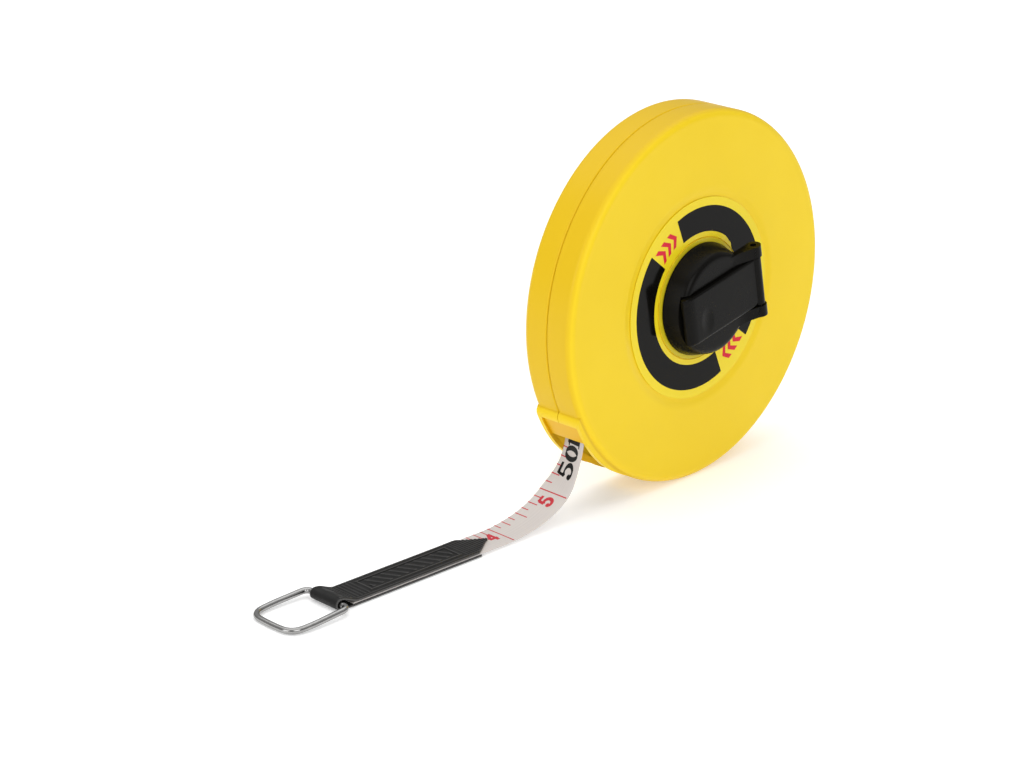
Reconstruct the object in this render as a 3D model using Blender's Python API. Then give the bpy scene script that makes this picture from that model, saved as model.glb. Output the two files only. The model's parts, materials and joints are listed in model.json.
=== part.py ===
"""Closed-reel fibreglass measuring tape with a folding crank.

The case is a flat round box that stands on its rim. Its axis runs along Y, the crank faces -Y,
and the origin is the centre of the flat rear face. The tape leaves a mouth low on the -X side,
curves down to the ground and ends in a folded plastic sleeve that holds a wire ring.
"""
import math

import bmesh
import bpy
from mathutils import Matrix, Vector

MM = 0.001
GAP = 0.3 * MM

# Case
CASE_RADIUS = 63.0 * MM
CASE_DEPTH = 20.6 * MM
WALL = 2.0 * MM
EDGE_ROUND = 2.6 * MM
SEAM_Y = -CASE_DEPTH / 2
FRONT_Y = -CASE_DEPTH
REAR_Y = 0.0
SEGMENTS = 60
REEL_SEGMENTS = 40
HUB_HOLE_RADIUS = 16.9 * MM
BOSS_CIRCLE = 56.0 * MM
BOSS_RADIUS = 3.0 * MM
BOSS_ANGLES = (25.0, 95.0, 160.0, 275.0, 335.0)

# Labels let into the two faces
LABEL_RADIUS = 34.1 * MM
LABEL_RECESS_RADIUS = 34.4 * MM
LABEL_HOLE_RADIUS = 20.8 * MM
LABEL_THICKNESS = 0.3 * MM
LABEL_RECESS = 0.6 * MM

# Mouth, as angles counted from +X towards +Z
MOUTH_START = 210.0
MOUTH_END = 246.0
MOUTH_HALF_WIDTH = 7.6 * MM
LIP_START = 205.5
LIP_END = 209.3
LIP_RADIUS = 64.4 * MM
COLLAR_SWELL = 2.3 * MM

# Reel
FLANGE_RADIUS = 51.0 * MM
FLANGE_THICKNESS = 0.9 * MM
DRUM_RADIUS = 15.0 * MM
COIL_RADIUS = 48.7 * MM
POST_RADIUS = 4.0 * MM

# Crank
CRANK_ANGLE = 11.0
HUB_BASE_RADIUS = 19.1 * MM
HUB_TOP_RADIUS = 15.7 * MM
HUB_HEIGHT = 7.8 * MM
LEVER_WIDTH = 17.0 * MM
LEVER_THICKNESS = 3.0 * MM
LEVER_TOP = 9.4 * MM
LEVER_FREE_END = -16.5 * MM
LEVER_PIN_U = 19.6 * MM
LEVER_PIN_HEIGHT = 8.2 * MM
LEVER_BARREL_RADIUS = 2.1 * MM
EAR_RADIUS = 2.6 * MM
EAR_INNER = 8.9 * MM
EAR_OUTER = 12.8 * MM
KNOB_U = -5.5 * MM
KNOB_RADIUS = 7.0 * MM
KNOB_POST_RADIUS = 2.5 * MM

# Tape and its end
TAPE_WIDTH = 12.7 * MM
TAPE_THICKNESS = 0.4 * MM
TAPE_EXIT = (-48.4 * MM, -34.0 * MM)
TAPE_LANDING_X = -88.0 * MM
TAPE_TWIST = 20.0
TAPE_GROUND_GAP = 1.4 * MM
TAPE_YAW = 2.3
TAPE_YAW_START_X = -46.0 * MM
TAPE_YAW_RUN = 34.0 * MM
SLEEVE_WIDTH = 12.4 * MM
SLEEVE_PLY = 0.8 * MM
SLEEVE_TOP_LENGTH = 66.3 * MM
SLEEVE_BOTTOM_LENGTH = 61.0 * MM
SLEEVE_POINT = 9.0 * MM
RING_BAR_X = -155.5 * MM
RING_WIRE_RADIUS = 1.0 * MM
RING_LENGTH = 22.5 * MM
RING_HALF_WIDTH = 9.7 * MM
RING_TILT = 3.0
GROUND_Z = -CASE_RADIUS


def clear_scene():
    for item in list(bpy.data.objects):
        bpy.data.objects.remove(item, do_unlink=True)


def material(name, colour, roughness, metallic=0.0):
    mat = bpy.data.materials.new(name)
    mat.use_nodes = True
    shader = mat.node_tree.nodes["Principled BSDF"]
    shader.inputs["Base Color"].default_value = (*colour, 1.0)
    shader.inputs["Roughness"].default_value = roughness
    shader.inputs["Metallic"].default_value = metallic
    return mat


def add_object(name, bm, mat=None, parent=None, location=(0, 0, 0), smooth=35.0):
    """Turn a bmesh into an object whose faces point outwards."""
    bmesh.ops.recalc_face_normals(bm, faces=bm.faces)
    mesh = bpy.data.meshes.new(name)
    bm.to_mesh(mesh)
    bm.free()
    mesh.shade_smooth()
    mesh.set_sharp_from_angle(angle=math.radians(smooth))
    item = bpy.data.objects.new(name, mesh)
    bpy.context.collection.objects.link(item)
    item.location = location
    if parent is not None:
        item.parent = parent
    if mat is not None:
        mesh.materials.append(mat)
    return item


def add_empty(name, location, rotation=(0, 0, 0), parent=None):
    empty = bpy.data.objects.new(name, None)
    bpy.context.collection.objects.link(empty)
    empty.location = location
    empty.rotation_euler = rotation
    empty.parent = parent
    return empty


def add_cutter(name, bm, parent=None):
    cutter = add_object(name, bm, parent=parent)
    cutter.hide_render = True
    cutter.display_type = 'WIRE'
    return cutter


def boolean(item, tool, operation):
    modifier = item.modifiers.new(tool.name, 'BOOLEAN')
    modifier.operation = operation
    modifier.solver = 'EXACT'
    modifier.object = tool


def polar(radius, degrees):
    angle = math.radians(degrees)
    return radius * math.cos(angle), radius * math.sin(angle)


def arc(centre, radius, start, end, steps):
    """Points of an arc in a plane, from one angle to the other."""
    points = []
    for index in range(steps + 1):
        x, z = polar(radius, start + (end - start) * index / steps)
        points.append((centre[0] + x, centre[1] + z))
    return points


def add_turned(bm, profile, segments=SEGMENTS, centre=(0, 0)):
    """Spin a closed (radius, y) profile about the Y axis through centre (x, z)."""
    phase = math.pi / segments
    first = []
    for radius, y in profile:
        x = centre[0] + radius * math.cos(phase)
        z = centre[1] - radius * math.sin(phase)
        first.append(bm.verts.new((x, y, z)))
    edges = []
    for index, vert in enumerate(first):
        edges.append(bm.edges.new((vert, first[(index + 1) % len(first)])))
    bmesh.ops.spin(
        bm,
        geom=first + edges,
        cent=(centre[0], 0, centre[1]),
        axis=(0, 1, 0),
        dvec=(0, 0, 0),
        angle=2 * math.pi,
        steps=segments,
        use_merge=True,
    )
    bmesh.ops.remove_doubles(bm, verts=bm.verts, dist=1e-7)
    axis_edges = [edge for edge in bm.edges if not edge.link_faces]
    bmesh.ops.delete(bm, geom=axis_edges, context='EDGES')


def turned(profile, segments=SEGMENTS, centre=(0, 0)):
    bm = bmesh.new()
    add_turned(bm, profile, segments, centre)
    return bm


def disc_profile(radius, start, end):
    return [(0, start), (radius, start), (radius, end), (0, end)]


def tube_profile(inner, outer, start, end):
    return [(inner, start), (outer, start), (outer, end), (inner, end)]


def add_prism(bm, outline, start, end):
    """Extrude an (x, z) outline along Y."""
    front = [bm.verts.new((x, start, z)) for x, z in outline]
    face = bm.faces.new(front)
    result = bmesh.ops.extrude_face_region(bm, geom=[face])
    moved = [item for item in result["geom"] if isinstance(item, bmesh.types.BMVert)]
    bmesh.ops.translate(bm, verts=moved, vec=(0, end - start, 0))


def prism(outline, start, end):
    bm = bmesh.new()
    add_prism(bm, outline, start, end)
    return bm


def add_box(bm, low, high):
    size = [high[i] - low[i] for i in range(3)]
    centre = [(high[i] + low[i]) / 2 for i in range(3)]
    matrix = Matrix.Translation(centre) @ Matrix.Diagonal((*size, 1.0))
    bmesh.ops.create_cube(bm, size=1.0, matrix=matrix)


def add_rod(bm, start, end, radius, sides=20):
    """A straight round rod between two points."""
    start = Vector(start)
    end = Vector(end)
    turn = (end - start).to_track_quat('Z', 'Y').to_matrix().to_4x4()
    bmesh.ops.create_cone(
        bm,
        cap_ends=True,
        segments=sides,
        radius1=radius,
        radius2=radius,
        depth=(end - start).length,
        matrix=Matrix.Translation((start + end) / 2) @ turn,
    )


def rod(start, end, radius, sides=20):
    bm = bmesh.new()
    add_rod(bm, start, end, radius, sides)
    return bm


def strip(stations, thickness):
    """A flat strip through stations of (centre, across, half width)."""
    bm = bmesh.new()
    rows = []
    count = len(stations)
    for index, (centre, across, half) in enumerate(stations):
        before = stations[max(index - 1, 0)][0]
        after = stations[min(index + 1, count - 1)][0]
        normal = across.cross(after - before).normalized()
        corners = []
        for side, level in ((-1, -1), (1, -1), (1, 1), (-1, 1)):
            point = centre + across * side * half + normal * level * thickness / 2
            corners.append(bm.verts.new(point))
        rows.append(corners)
    for first, second in zip(rows, rows[1:]):
        for index in range(4):
            following = (index + 1) % 4
            bm.faces.new((first[index], first[following], second[following], second[index]))
    bm.faces.new(rows[0])
    bm.faces.new(rows[-1])
    return bm


def swept_loop(points, radius, sides=8):
    """A round wire along a closed flat path of (x, y) points."""
    bm = bmesh.new()
    count = len(points)
    rings = []
    for index in range(count):
        here = Vector((*points[index], 0))
        before = Vector((*points[index - 1], 0))
        after = Vector((*points[(index + 1) % count], 0))
        along = (after - before).normalized()
        out = Vector((along.y, -along.x, 0))
        ring = []
        for side in range(sides):
            angle = 2 * math.pi * (side + 0.5) / sides
            offset = out * math.cos(angle) * radius + Vector((0, 0, math.sin(angle) * radius))
            ring.append(bm.verts.new(here + offset))
        rings.append(ring)
    for index in range(count):
        first = rings[index]
        second = rings[(index + 1) % count]
        for side in range(sides):
            following = (side + 1) % sides
            bm.faces.new((first[side], first[following], second[following], second[side]))
    return bm


def case_profile(front):
    """Half of the case as a closed (radius, y) outline, front or rear."""
    face = FRONT_Y if front else REAR_Y
    inward = 1 if front else -1
    seam = SEAM_Y - inward * GAP / 2
    hole = HUB_HOLE_RADIUS if front else 0.0
    recess_hole = (LABEL_HOLE_RADIUS - GAP) if front else 0.0
    floor = face + inward * LABEL_RECESS
    points = []
    if front:
        points += [(hole, face), (recess_hole, face)]
    points += [(recess_hole, floor), (LABEL_RECESS_RADIUS, floor), (LABEL_RECESS_RADIUS, face)]
    for index in range(5):
        angle = math.radians(90 * (1 - index / 4))
        radius = CASE_RADIUS - EDGE_ROUND + EDGE_ROUND * math.cos(angle)
        depth = EDGE_ROUND - EDGE_ROUND * math.sin(angle)
        points.append((radius, face + inward * depth))
    points += [(CASE_RADIUS, seam - inward * 0.6 * MM), (CASE_RADIUS - 0.5 * MM, seam)]
    inner = CASE_RADIUS - WALL
    if front:
        points.append((inner, seam))
    else:
        tongue = seam + 1.2 * MM
        points += [(inner - GAP, seam), (inner - GAP, SEAM_Y - 1.5 * MM)]
        points += [(inner - 1.5 * MM, SEAM_Y - 1.5 * MM), (inner - 1.5 * MM, tongue)]
        points.append((inner, tongue))
    wall_inside = face + inward * WALL
    points.append((inner, wall_inside))
    points.append((hole, wall_inside))
    return points


def mouth_cutter():
    outline = arc((0, 0), 70 * MM, MOUTH_START, MOUTH_END, 6)
    outline += arc((0, 0), 58.5 * MM, MOUTH_END, MOUTH_START, 6)
    width = MOUTH_HALF_WIDTH
    return add_cutter("mouth_cutter", prism(outline, SEAM_Y - width, SEAM_Y + width))


def mouth_pieces(front):
    """Lip ridge, the wall that hangs below it and the collar beside the mouth, for one half."""
    inward = 1 if front else -1
    label = "front" if front else "rear"
    seam = SEAM_Y - inward * GAP / 2
    side = SEAM_Y - inward * (MOUTH_HALF_WIDTH + 0.4 * MM)
    lip = arc((0, 0), LIP_RADIUS, LIP_START + 0.5, LIP_END, 2)
    lip += arc((0, 0), 62 * MM, LIP_END + 0.4, LIP_START, 2)
    wall = [polar(64.3 * MM, 208.8), polar(64.15 * MM, 212.5), polar(64.1 * MM, 216.2)]
    wall += [polar(63.5 * MM, 216.1), polar(62.5 * MM, 212.5), polar(61.3 * MM, 210.3)]
    wall.append(polar(61.3 * MM, 208.8))
    hang = side - inward * 0.1 * MM
    collar = arc((0, 0), 61.4 * MM, 207.2, 239.0, 6)
    for index in range(9):
        degrees = 239.0 - 31.0 * index / 8
        swell = COLLAR_SWELL * math.sin(math.pi * index / 8)
        collar.append(polar(62.7 * MM + swell, degrees))
    near = SEAM_Y - inward * (MOUTH_HALF_WIDTH + 0.1 * MM)
    far = SEAM_Y - inward * (MOUTH_HALF_WIDTH + 1.7 * MM)
    return [
        add_cutter(label + "_lip", prism(lip, *sorted((side, seam)))),
        add_cutter(label + "_wall", prism(wall, *sorted((hang, seam)))),
        add_cutter(label + "_collar", prism(collar, *sorted((near, far)))),
    ]


def boss_form(front):
    inward = 1 if front else -1
    wall = (FRONT_Y if front else REAR_Y) + inward * 1.0 * MM
    end = SEAM_Y - 1.9 * MM if front else SEAM_Y + 0.6 * MM
    bm = bmesh.new()
    for degrees in BOSS_ANGLES:
        x, z = polar(BOSS_CIRCLE, degrees)
        add_rod(bm, (x, wall, z), (x, end, z), BOSS_RADIUS, 16)
    if not front:
        add_rod(bm, (0, wall, 0), (0, SEAM_Y - 4.4 * MM, 0), POST_RADIUS, 24)
    return add_cutter("front_bosses" if front else "rear_bosses", bm)


def screw_holes(front):
    bm = bmesh.new()
    for degrees in BOSS_ANGLES:
        x, z = polar(BOSS_CIRCLE, degrees)
        if front:
            add_rod(bm, (x, SEAM_Y, z), (x, FRONT_Y + 3.4 * MM, z), 1.5 * MM, 12)
        else:
            shape = [
                (0, REAR_Y + 1 * MM),
                (2.9 * MM, REAR_Y + 1 * MM),
                (2.9 * MM, REAR_Y - 2.0 * MM),
                (1.5 * MM, REAR_Y - 2.0 * MM),
                (1.5 * MM, SEAM_Y - 1 * MM),
                (0, SEAM_Y - 1 * MM),
            ]
            add_turned(bm, shape, 12, (x, z))
    if not front:
        add_rod(bm, (0, SEAM_Y - 6 * MM, 0), (0, SEAM_Y + 4 * MM, 0), 1.4 * MM, 12)
    return add_cutter("front_screw_holes" if front else "rear_screw_holes", bm)


def build_case(yellow, shaded_yellow, steel):
    cutter = mouth_cutter()
    for front in (True, False):
        name = "front_case" if front else "rear_case"
        half = add_object(name, turned(case_profile(front)), yellow)
        boolean(half, cutter, 'DIFFERENCE')
        for piece in mouth_pieces(front):
            boolean(half, piece, 'UNION')
        boolean(half, boss_form(front), 'UNION')
        boolean(half, screw_holes(front), 'DIFFERENCE')
    front_label = tube_profile(LABEL_HOLE_RADIUS, LABEL_RADIUS, FRONT_Y, FRONT_Y + LABEL_THICKNESS)
    add_object("front_label", turned(front_label), shaded_yellow)
    rear_label = disc_profile(LABEL_RADIUS, REAR_Y - LABEL_THICKNESS, REAR_Y)
    add_object("rear_label", turned(rear_label), shaded_yellow)
    for number, degrees in enumerate(BOSS_ANGLES, start=1):
        shape = [
            (0, REAR_Y - 0.4 * MM),
            (2.2 * MM, REAR_Y - 0.4 * MM),
            (2.6 * MM, REAR_Y - 0.8 * MM),
            (2.6 * MM, REAR_Y - 1.7 * MM),
            (1.2 * MM, REAR_Y - 1.7 * MM),
            (1.2 * MM, SEAM_Y - 5.6 * MM),
            (0, SEAM_Y - 6.2 * MM),
        ]
        add_object(f"case_screw_{number}", turned(shape, 12, polar(BOSS_CIRCLE, degrees)), steel)


def reel_pieces(crank, reel_plastic, tape_white, brass, steel):
    """Drum, flanges, wound tape and what holds them on the post."""
    flange_outer = 8.0 * MM
    flange_inner = flange_outer - FLANGE_THICKNESS
    drum_end = flange_inner - GAP
    front_flange = tube_profile(12.3 * MM, FLANGE_RADIUS, -flange_outer, -flange_inner)
    add_object("spool_front_flange", turned(front_flange, REEL_SEGMENTS), reel_plastic, crank)
    rear_flange = tube_profile(5.3 * MM, FLANGE_RADIUS, flange_inner, flange_outer)
    add_object("spool_rear_flange", turned(rear_flange, REEL_SEGMENTS), reel_plastic, crank)
    drum = [
        (5.3 * MM, drum_end),
        (5.3 * MM, -4.4 * MM),
        (12.3 * MM, -4.4 * MM),
        (12.3 * MM, -drum_end),
        (DRUM_RADIUS, -drum_end),
        (DRUM_RADIUS, drum_end),
    ]
    core = add_object("spool_core", turned(drum, REEL_SEGMENTS), reel_plastic, crank)
    anchor_x, anchor_z = polar(13.6 * MM, 118)
    slot = rod((anchor_x, -9 * MM, anchor_z), (anchor_x, 9 * MM, anchor_z), 0.95 * MM, 12)
    boolean(core, add_cutter("anchor_slot", slot, crank), 'DIFFERENCE')
    anchor = rod((anchor_x, -6.3 * MM, anchor_z), (anchor_x, 6.3 * MM, anchor_z), 0.6 * MM, 12)
    add_object("tape_anchor", anchor, steel, crank)
    coil = tube_profile(DRUM_RADIUS + GAP, COIL_RADIUS, -TAPE_WIDTH / 2, TAPE_WIDTH / 2)
    add_object("tape_coil", turned(coil, REEL_SEGMENTS), tape_white, crank)
    bush = tube_profile(POST_RADIUS + GAP, 5.0 * MM, SEAM_Y - 4.0 * MM, SEAM_Y + 6.6 * MM)
    add_object("reel_bush", turned(bush, 32), brass)
    screw = [
        (0, SEAM_Y - 9.0 * MM),
        (2.4 * MM, SEAM_Y - 9.0 * MM),
        (3.0 * MM, SEAM_Y - 8.5 * MM),
        (3.0 * MM, SEAM_Y - 7.6 * MM),
        (1.1 * MM, SEAM_Y - 7.6 * MM),
        (1.1 * MM, SEAM_Y + 2.6 * MM),
        (0, SEAM_Y + 3.2 * MM),
    ]
    add_object("hub_screw", turned(screw, 20), steel)
    washer = tube_profile(1.4 * MM, 3.7 * MM, SEAM_Y - 7.3 * MM, SEAM_Y - 6.6 * MM)
    add_object("hub_washer", turned(washer, 24), steel)


def crank_point(u, v, height):
    """A point on the crank: u along the lever, v across it, height above the case's face."""
    along_x, along_z = polar(1.0, CRANK_ANGLE)
    return Vector((u * along_x - v * along_z, FRONT_Y - SEAM_Y - height, u * along_z + v * along_x))


def crank_block(bm, u_range, v_range, height_range):
    """A box in the crank's directions."""
    first = len(bm.verts)
    low = (u_range[0], -height_range[1], v_range[0])
    high = (u_range[1], -height_range[0], v_range[1])
    add_box(bm, low, high)
    turn_with_crank(bm, first)


def add_across(bm, outline, across):
    """Extrude a (u, height) outline across the crank."""
    face = bm.faces.new([bm.verts.new((u, -height, across[0])) for u, height in outline])
    result = bmesh.ops.extrude_face_region(bm, geom=[face])
    moved = [item for item in result["geom"] if isinstance(item, bmesh.types.BMVert)]
    bmesh.ops.translate(bm, verts=moved, vec=(0, 0, across[1] - across[0]))


def turn_with_crank(bm, first):
    """Take vertices built along X, -Y and Z into the crank's directions."""
    bm.verts.ensure_lookup_table()
    turn = Matrix.Rotation(-math.radians(CRANK_ANGLE), 4, 'Y')
    move = Matrix.Translation((0, FRONT_Y - SEAM_Y, 0))
    bmesh.ops.transform(bm, matrix=move @ turn, verts=bm.verts[first:])


def build_hub(crank, black):
    """Round hub with the channel for the lever and two ears for its pin."""
    face = FRONT_Y - SEAM_Y
    foot = face - GAP
    profile = [
        (0, -4.7 * MM),
        (12.0 * MM, -4.7 * MM),
        (12.0 * MM, -8.3 * MM),
        (16.5 * MM, -8.3 * MM),
        (16.5 * MM, foot),
        (HUB_BASE_RADIUS, foot),
        (HUB_BASE_RADIUS - 0.2 * MM, face - 1.2 * MM),
        (17.6 * MM, face - 5.4 * MM),
        (17.1 * MM, face - 6.6 * MM),
        (16.5 * MM, face - 7.3 * MM),
        (HUB_TOP_RADIUS, face - HUB_HEIGHT),
        (0, face - HUB_HEIGHT),
    ]
    hub = add_object("crank_hub", turned(profile, 48), black, crank)
    ears = bmesh.new()
    for side in (-1, 1):
        near = side * EAR_INNER
        far = side * EAR_OUTER
        add_rod(ears, crank_point(LEVER_PIN_U, near, LEVER_PIN_HEIGHT),
                crank_point(LEVER_PIN_U, far, LEVER_PIN_HEIGHT), EAR_RADIUS, 20)
    boolean(hub, add_cutter("hub_ears", ears, crank), 'UNION')
    arms = bmesh.new()
    outline = [(8.0, 5.7), (19.6, 5.7), (19.6, 10.7), (17.6, 10.2), (12.0, 8.2), (8.0, 7.75)]
    for side in (-1, 1):
        across = sorted((side * EAR_INNER, side * (EAR_OUTER - 0.1 * MM)))
        first = len(arms.verts)
        add_across(arms, [(u * MM, height * MM) for u, height in outline], across)
        turn_with_crank(arms, first)
    boolean(hub, add_cutter("hub_arms", arms, crank), 'UNION')
    channel = bmesh.new()
    half = EAR_INNER - 0.05 * MM
    crank_block(channel, (-21 * MM, 24 * MM), (-half, half), (5.7 * MM, 12 * MM))
    boolean(hub, add_cutter("lever_channel", channel, crank), 'DIFFERENCE')
    pocket = rod(crank_point(KNOB_U, 0, -1.0 * MM), crank_point(KNOB_U, 0, 7 * MM), 7.6 * MM, 32)
    boolean(hub, add_cutter("knob_pocket", pocket, crank), 'DIFFERENCE')
    bore = bmesh.new()
    add_turned(bore, tube_profile(0, 4.0 * MM, -12 * MM, -6.3 * MM), 24)
    boolean(hub, add_cutter("screw_pocket", bore, crank), 'DIFFERENCE')
    through = rod((0, -9 * MM, 0), (0, -3 * MM, 0), 1.9 * MM, 16)
    boolean(hub, add_cutter("screw_bore", through, crank), 'DIFFERENCE')
    pin_hole = rod(crank_point(LEVER_PIN_U, -14 * MM, LEVER_PIN_HEIGHT),
                   crank_point(LEVER_PIN_U, 14 * MM, LEVER_PIN_HEIGHT), 1.2 * MM, 16)
    boolean(hub, add_cutter("pin_bores", pin_hole, crank), 'DIFFERENCE')
    return hub


def build_lever(crank, black, steel, knob_black):
    """Lever, pin, knob and knob screw, all about the pin or the knob's own axis."""
    half = LEVER_WIDTH / 2
    bottom = LEVER_TOP - LEVER_THICKNESS
    pin_at = crank_point(LEVER_PIN_U, 0, LEVER_PIN_HEIGHT)
    lever_axis = add_empty("lever_axis", pin_at, parent=crank)
    back = Matrix.Translation(-pin_at)

    plate = bmesh.new()
    crank_block(plate, (LEVER_FREE_END, LEVER_PIN_U), (-half, half), (bottom, LEVER_TOP))
    bmesh.ops.transform(plate, matrix=back, verts=plate.verts)
    lever = add_object("crank_lever", plate, black, lever_axis)
    bevel = lever.modifiers.new("edges", 'BEVEL')
    bevel.width = 0.9 * MM
    bevel.segments = 2
    barrel = rod(crank_point(LEVER_PIN_U, -half, LEVER_PIN_HEIGHT) - pin_at,
                 crank_point(LEVER_PIN_U, half, LEVER_PIN_HEIGHT) - pin_at, LEVER_BARREL_RADIUS, 20)
    boolean(lever, add_cutter("lever_barrel", barrel, lever_axis), 'UNION')
    post = rod(crank_point(KNOB_U, 0, bottom + 1 * MM) - pin_at,
               crank_point(KNOB_U, 0, 1.3 * MM) - pin_at, KNOB_POST_RADIUS, 20)
    boolean(lever, add_cutter("lever_post", post, lever_axis), 'UNION')
    holes = bmesh.new()
    add_rod(holes, crank_point(LEVER_PIN_U, -12 * MM, LEVER_PIN_HEIGHT) - pin_at,
            crank_point(LEVER_PIN_U, 12 * MM, LEVER_PIN_HEIGHT) - pin_at, 1.2 * MM, 16)
    add_rod(holes, crank_point(KNOB_U, 0, 0) - pin_at,
            crank_point(KNOB_U, 0, 5.4 * MM) - pin_at, 1.3 * MM, 12)
    boolean(lever, add_cutter("lever_holes", holes, lever_axis), 'DIFFERENCE')

    pin = rod(crank_point(LEVER_PIN_U, -11.6 * MM, LEVER_PIN_HEIGHT),
              crank_point(LEVER_PIN_U, 11.6 * MM, LEVER_PIN_HEIGHT), 0.9 * MM, 16)
    add_object("lever_pin", pin, steel, crank)

    knob_at = crank_point(KNOB_U, 0, 0)
    knob_axis = add_empty("knob_axis", knob_at - pin_at, parent=lever_axis)
    top = -(bottom - GAP)
    grip = [
        (2.8 * MM, top),
        (KNOB_RADIUS - 0.6 * MM, top),
        (KNOB_RADIUS, top + 0.6 * MM),
        (KNOB_RADIUS, -0.4 * MM),
        (KNOB_RADIUS - 0.9 * MM, 0.5 * MM),
        (4.2 * MM, 0.5 * MM),
        (4.2 * MM, -1.6 * MM),
        (2.8 * MM, -1.6 * MM),
    ]
    add_object("crank_knob", turned(grip, 32), knob_black, knob_axis)
    screw = [
        (0, 0.1 * MM),
        (3.2 * MM, 0.1 * MM),
        (3.8 * MM, -0.3 * MM),
        (3.8 * MM, -1.0 * MM),
        (1.0 * MM, -1.0 * MM),
        (1.0 * MM, -4.6 * MM),
        (0, -5.0 * MM),
    ]
    add_object("knob_screw", turned(screw, 20), steel, knob_axis)


def tape_offset(x):
    """Sideways drift of the tape's centre line, which turns slightly towards the rear."""
    run = max(TAPE_YAW_START_X - x, 0.0)
    slope = math.tan(math.radians(TAPE_YAW))
    if run < TAPE_YAW_RUN:
        return slope * run * run / (2 * TAPE_YAW_RUN)
    return slope * (run - TAPE_YAW_RUN / 2)


def bezier(points, steps):
    curve = []
    for index in range(steps + 1):
        t = index / steps
        s = 1 - t
        weights = (s * s * s, 3 * s * s * t, 3 * s * t * t, t * t * t)
        x = sum(w * p[0] for w, p in zip(weights, points))
        z = sum(w * p[1] for w, p in zip(weights, points))
        curve.append((x, z))
    return curve


def tape_path():
    """Centre line from the edge of the coil, through the mouth and down to the ground."""
    floor = GROUND_Z + TAPE_GROUND_GAP
    start = (-49.2 * MM, -3.0 * MM)
    path = []
    for step in range(5):
        t = step / 5
        path.append((start[0] + (TAPE_EXIT[0] - start[0]) * t, start[1] + (TAPE_EXIT[1] - start[1]) * t))
    steep = (TAPE_EXIT[0] - 0.75 * MM, TAPE_EXIT[1] - 9.0 * MM)
    landing = (TAPE_LANDING_X + 35.0 * MM, floor)
    path += bezier([TAPE_EXIT, steep, landing, (TAPE_LANDING_X, floor)], 20)
    end = RING_BAR_X + 4.0 * MM
    for step in (1, 2, 3):
        path.append((TAPE_LANDING_X + (end - TAPE_LANDING_X) * step / 3, floor))
    return path


def ease(value, low, high):
    t = min(max((value - low) / (high - low), 0.0), 1.0)
    return t * t * (3 - 2 * t)


def tape_turn(x, z):
    """Angle of the tape about the vertical: twisted in the mouth, slightly turned on the ground."""
    yaw = math.radians(TAPE_YAW)
    twist = math.radians(TAPE_TWIST)
    if z > TAPE_EXIT[1]:
        return twist * ease(z, -3.0 * MM, TAPE_EXIT[1])
    return yaw + (twist - yaw) * ease(x, -59.5 * MM, -49.5 * MM)


def build_tape(tape_white):
    stations = []
    for x, z in tape_path():
        turn = tape_turn(x, z)
        across = Vector((math.sin(turn), math.cos(turn), 0))
        stations.append((Vector((x, SEAM_Y + tape_offset(x), z)), across, TAPE_WIDTH / 2))
    add_object("tape_blade", strip(stations, TAPE_THICKNESS), tape_white)


def sleeve_stations():
    """Folded strap: pointed top ply, loop round the ring's bar, pointed bottom ply."""
    loop = RING_WIRE_RADIUS + GAP + SLEEVE_PLY / 2
    across = Vector((0, 1, 0))
    half = SLEEVE_WIDTH / 2
    top = level_of_top()
    stations = []
    for along, width in ((SLEEVE_TOP_LENGTH, 0.6 * MM), (SLEEVE_TOP_LENGTH - SLEEVE_POINT, half)):
        stations.append((Vector((along, 0, top)), across, width))
    stations.append((Vector((SLEEVE_TOP_LENGTH / 2, 0, top)), across, half))
    for index in range(7):
        t = index / 6
        along = 13.0 * MM * (1 - t)
        stations.append((Vector((along, 0, top + (loop - top) * ease(t, 0.0, 1.0))), across, half))
    for x, z in arc((0, 0), loop, 90, 270, 10)[1:]:
        stations.append((Vector((x, 0, z)), across, half))
    bottom = -loop
    for along in (13.0 * MM, SLEEVE_BOTTOM_LENGTH - SLEEVE_POINT):
        stations.append((Vector((along, 0, bottom)), across, half))
    stations.append((Vector((SLEEVE_BOTTOM_LENGTH, 0, bottom)), across, 0.6 * MM))
    return stations


def level_of_top():
    """Height of the top ply's middle above the ring's bar."""
    loop = RING_WIRE_RADIUS + GAP + SLEEVE_PLY / 2
    return -loop + 2 * GAP + TAPE_THICKNESS + SLEEVE_PLY


def ring_outline():
    """Centre line of the wire: straight bar, bulged sides and a bowed far end."""
    half = RING_HALF_WIDTH
    far = -RING_LENGTH
    points = []
    for index in range(3):
        points.append((0, -5.5 * MM + 5.5 * MM * index))
    points += arc((-2.4 * MM, half - 3.1 * MM), 2.4 * MM, 0, 75, 3)[0:4]
    for t in (0.35, 0.6, 0.8):
        points.append((far * t, half - 0.7 * MM + 0.9 * MM * math.sin(math.pi * t)))
    points += arc((far + 4.6 * MM, half - 4.8 * MM), 4.4 * MM, 100, 165, 4)
    points.append((far, 0))
    mirrored = [(x, -y) for x, y in points[3:-1]]
    return points + list(reversed(mirrored))


def build_end(black, steel):
    loop = RING_WIRE_RADIUS + GAP + SLEEVE_PLY / 2
    height = GROUND_Z + 0.1 * MM + SLEEVE_PLY / 2 + loop
    at = (RING_BAR_X, SEAM_Y + tape_offset(RING_BAR_X), height)
    pull = add_empty("pull_axis", at, (0, 0, -math.radians(TAPE_YAW)))
    add_object("tape_sleeve", strip(sleeve_stations(), SLEEVE_PLY), black, pull)
    swing = add_empty("ring_axis", (0, 0, 0), (0, -math.radians(RING_TILT), 0), pull)
    add_object("hook_ring", swept_loop(ring_outline(), RING_WIRE_RADIUS), steel, swing)


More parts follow.
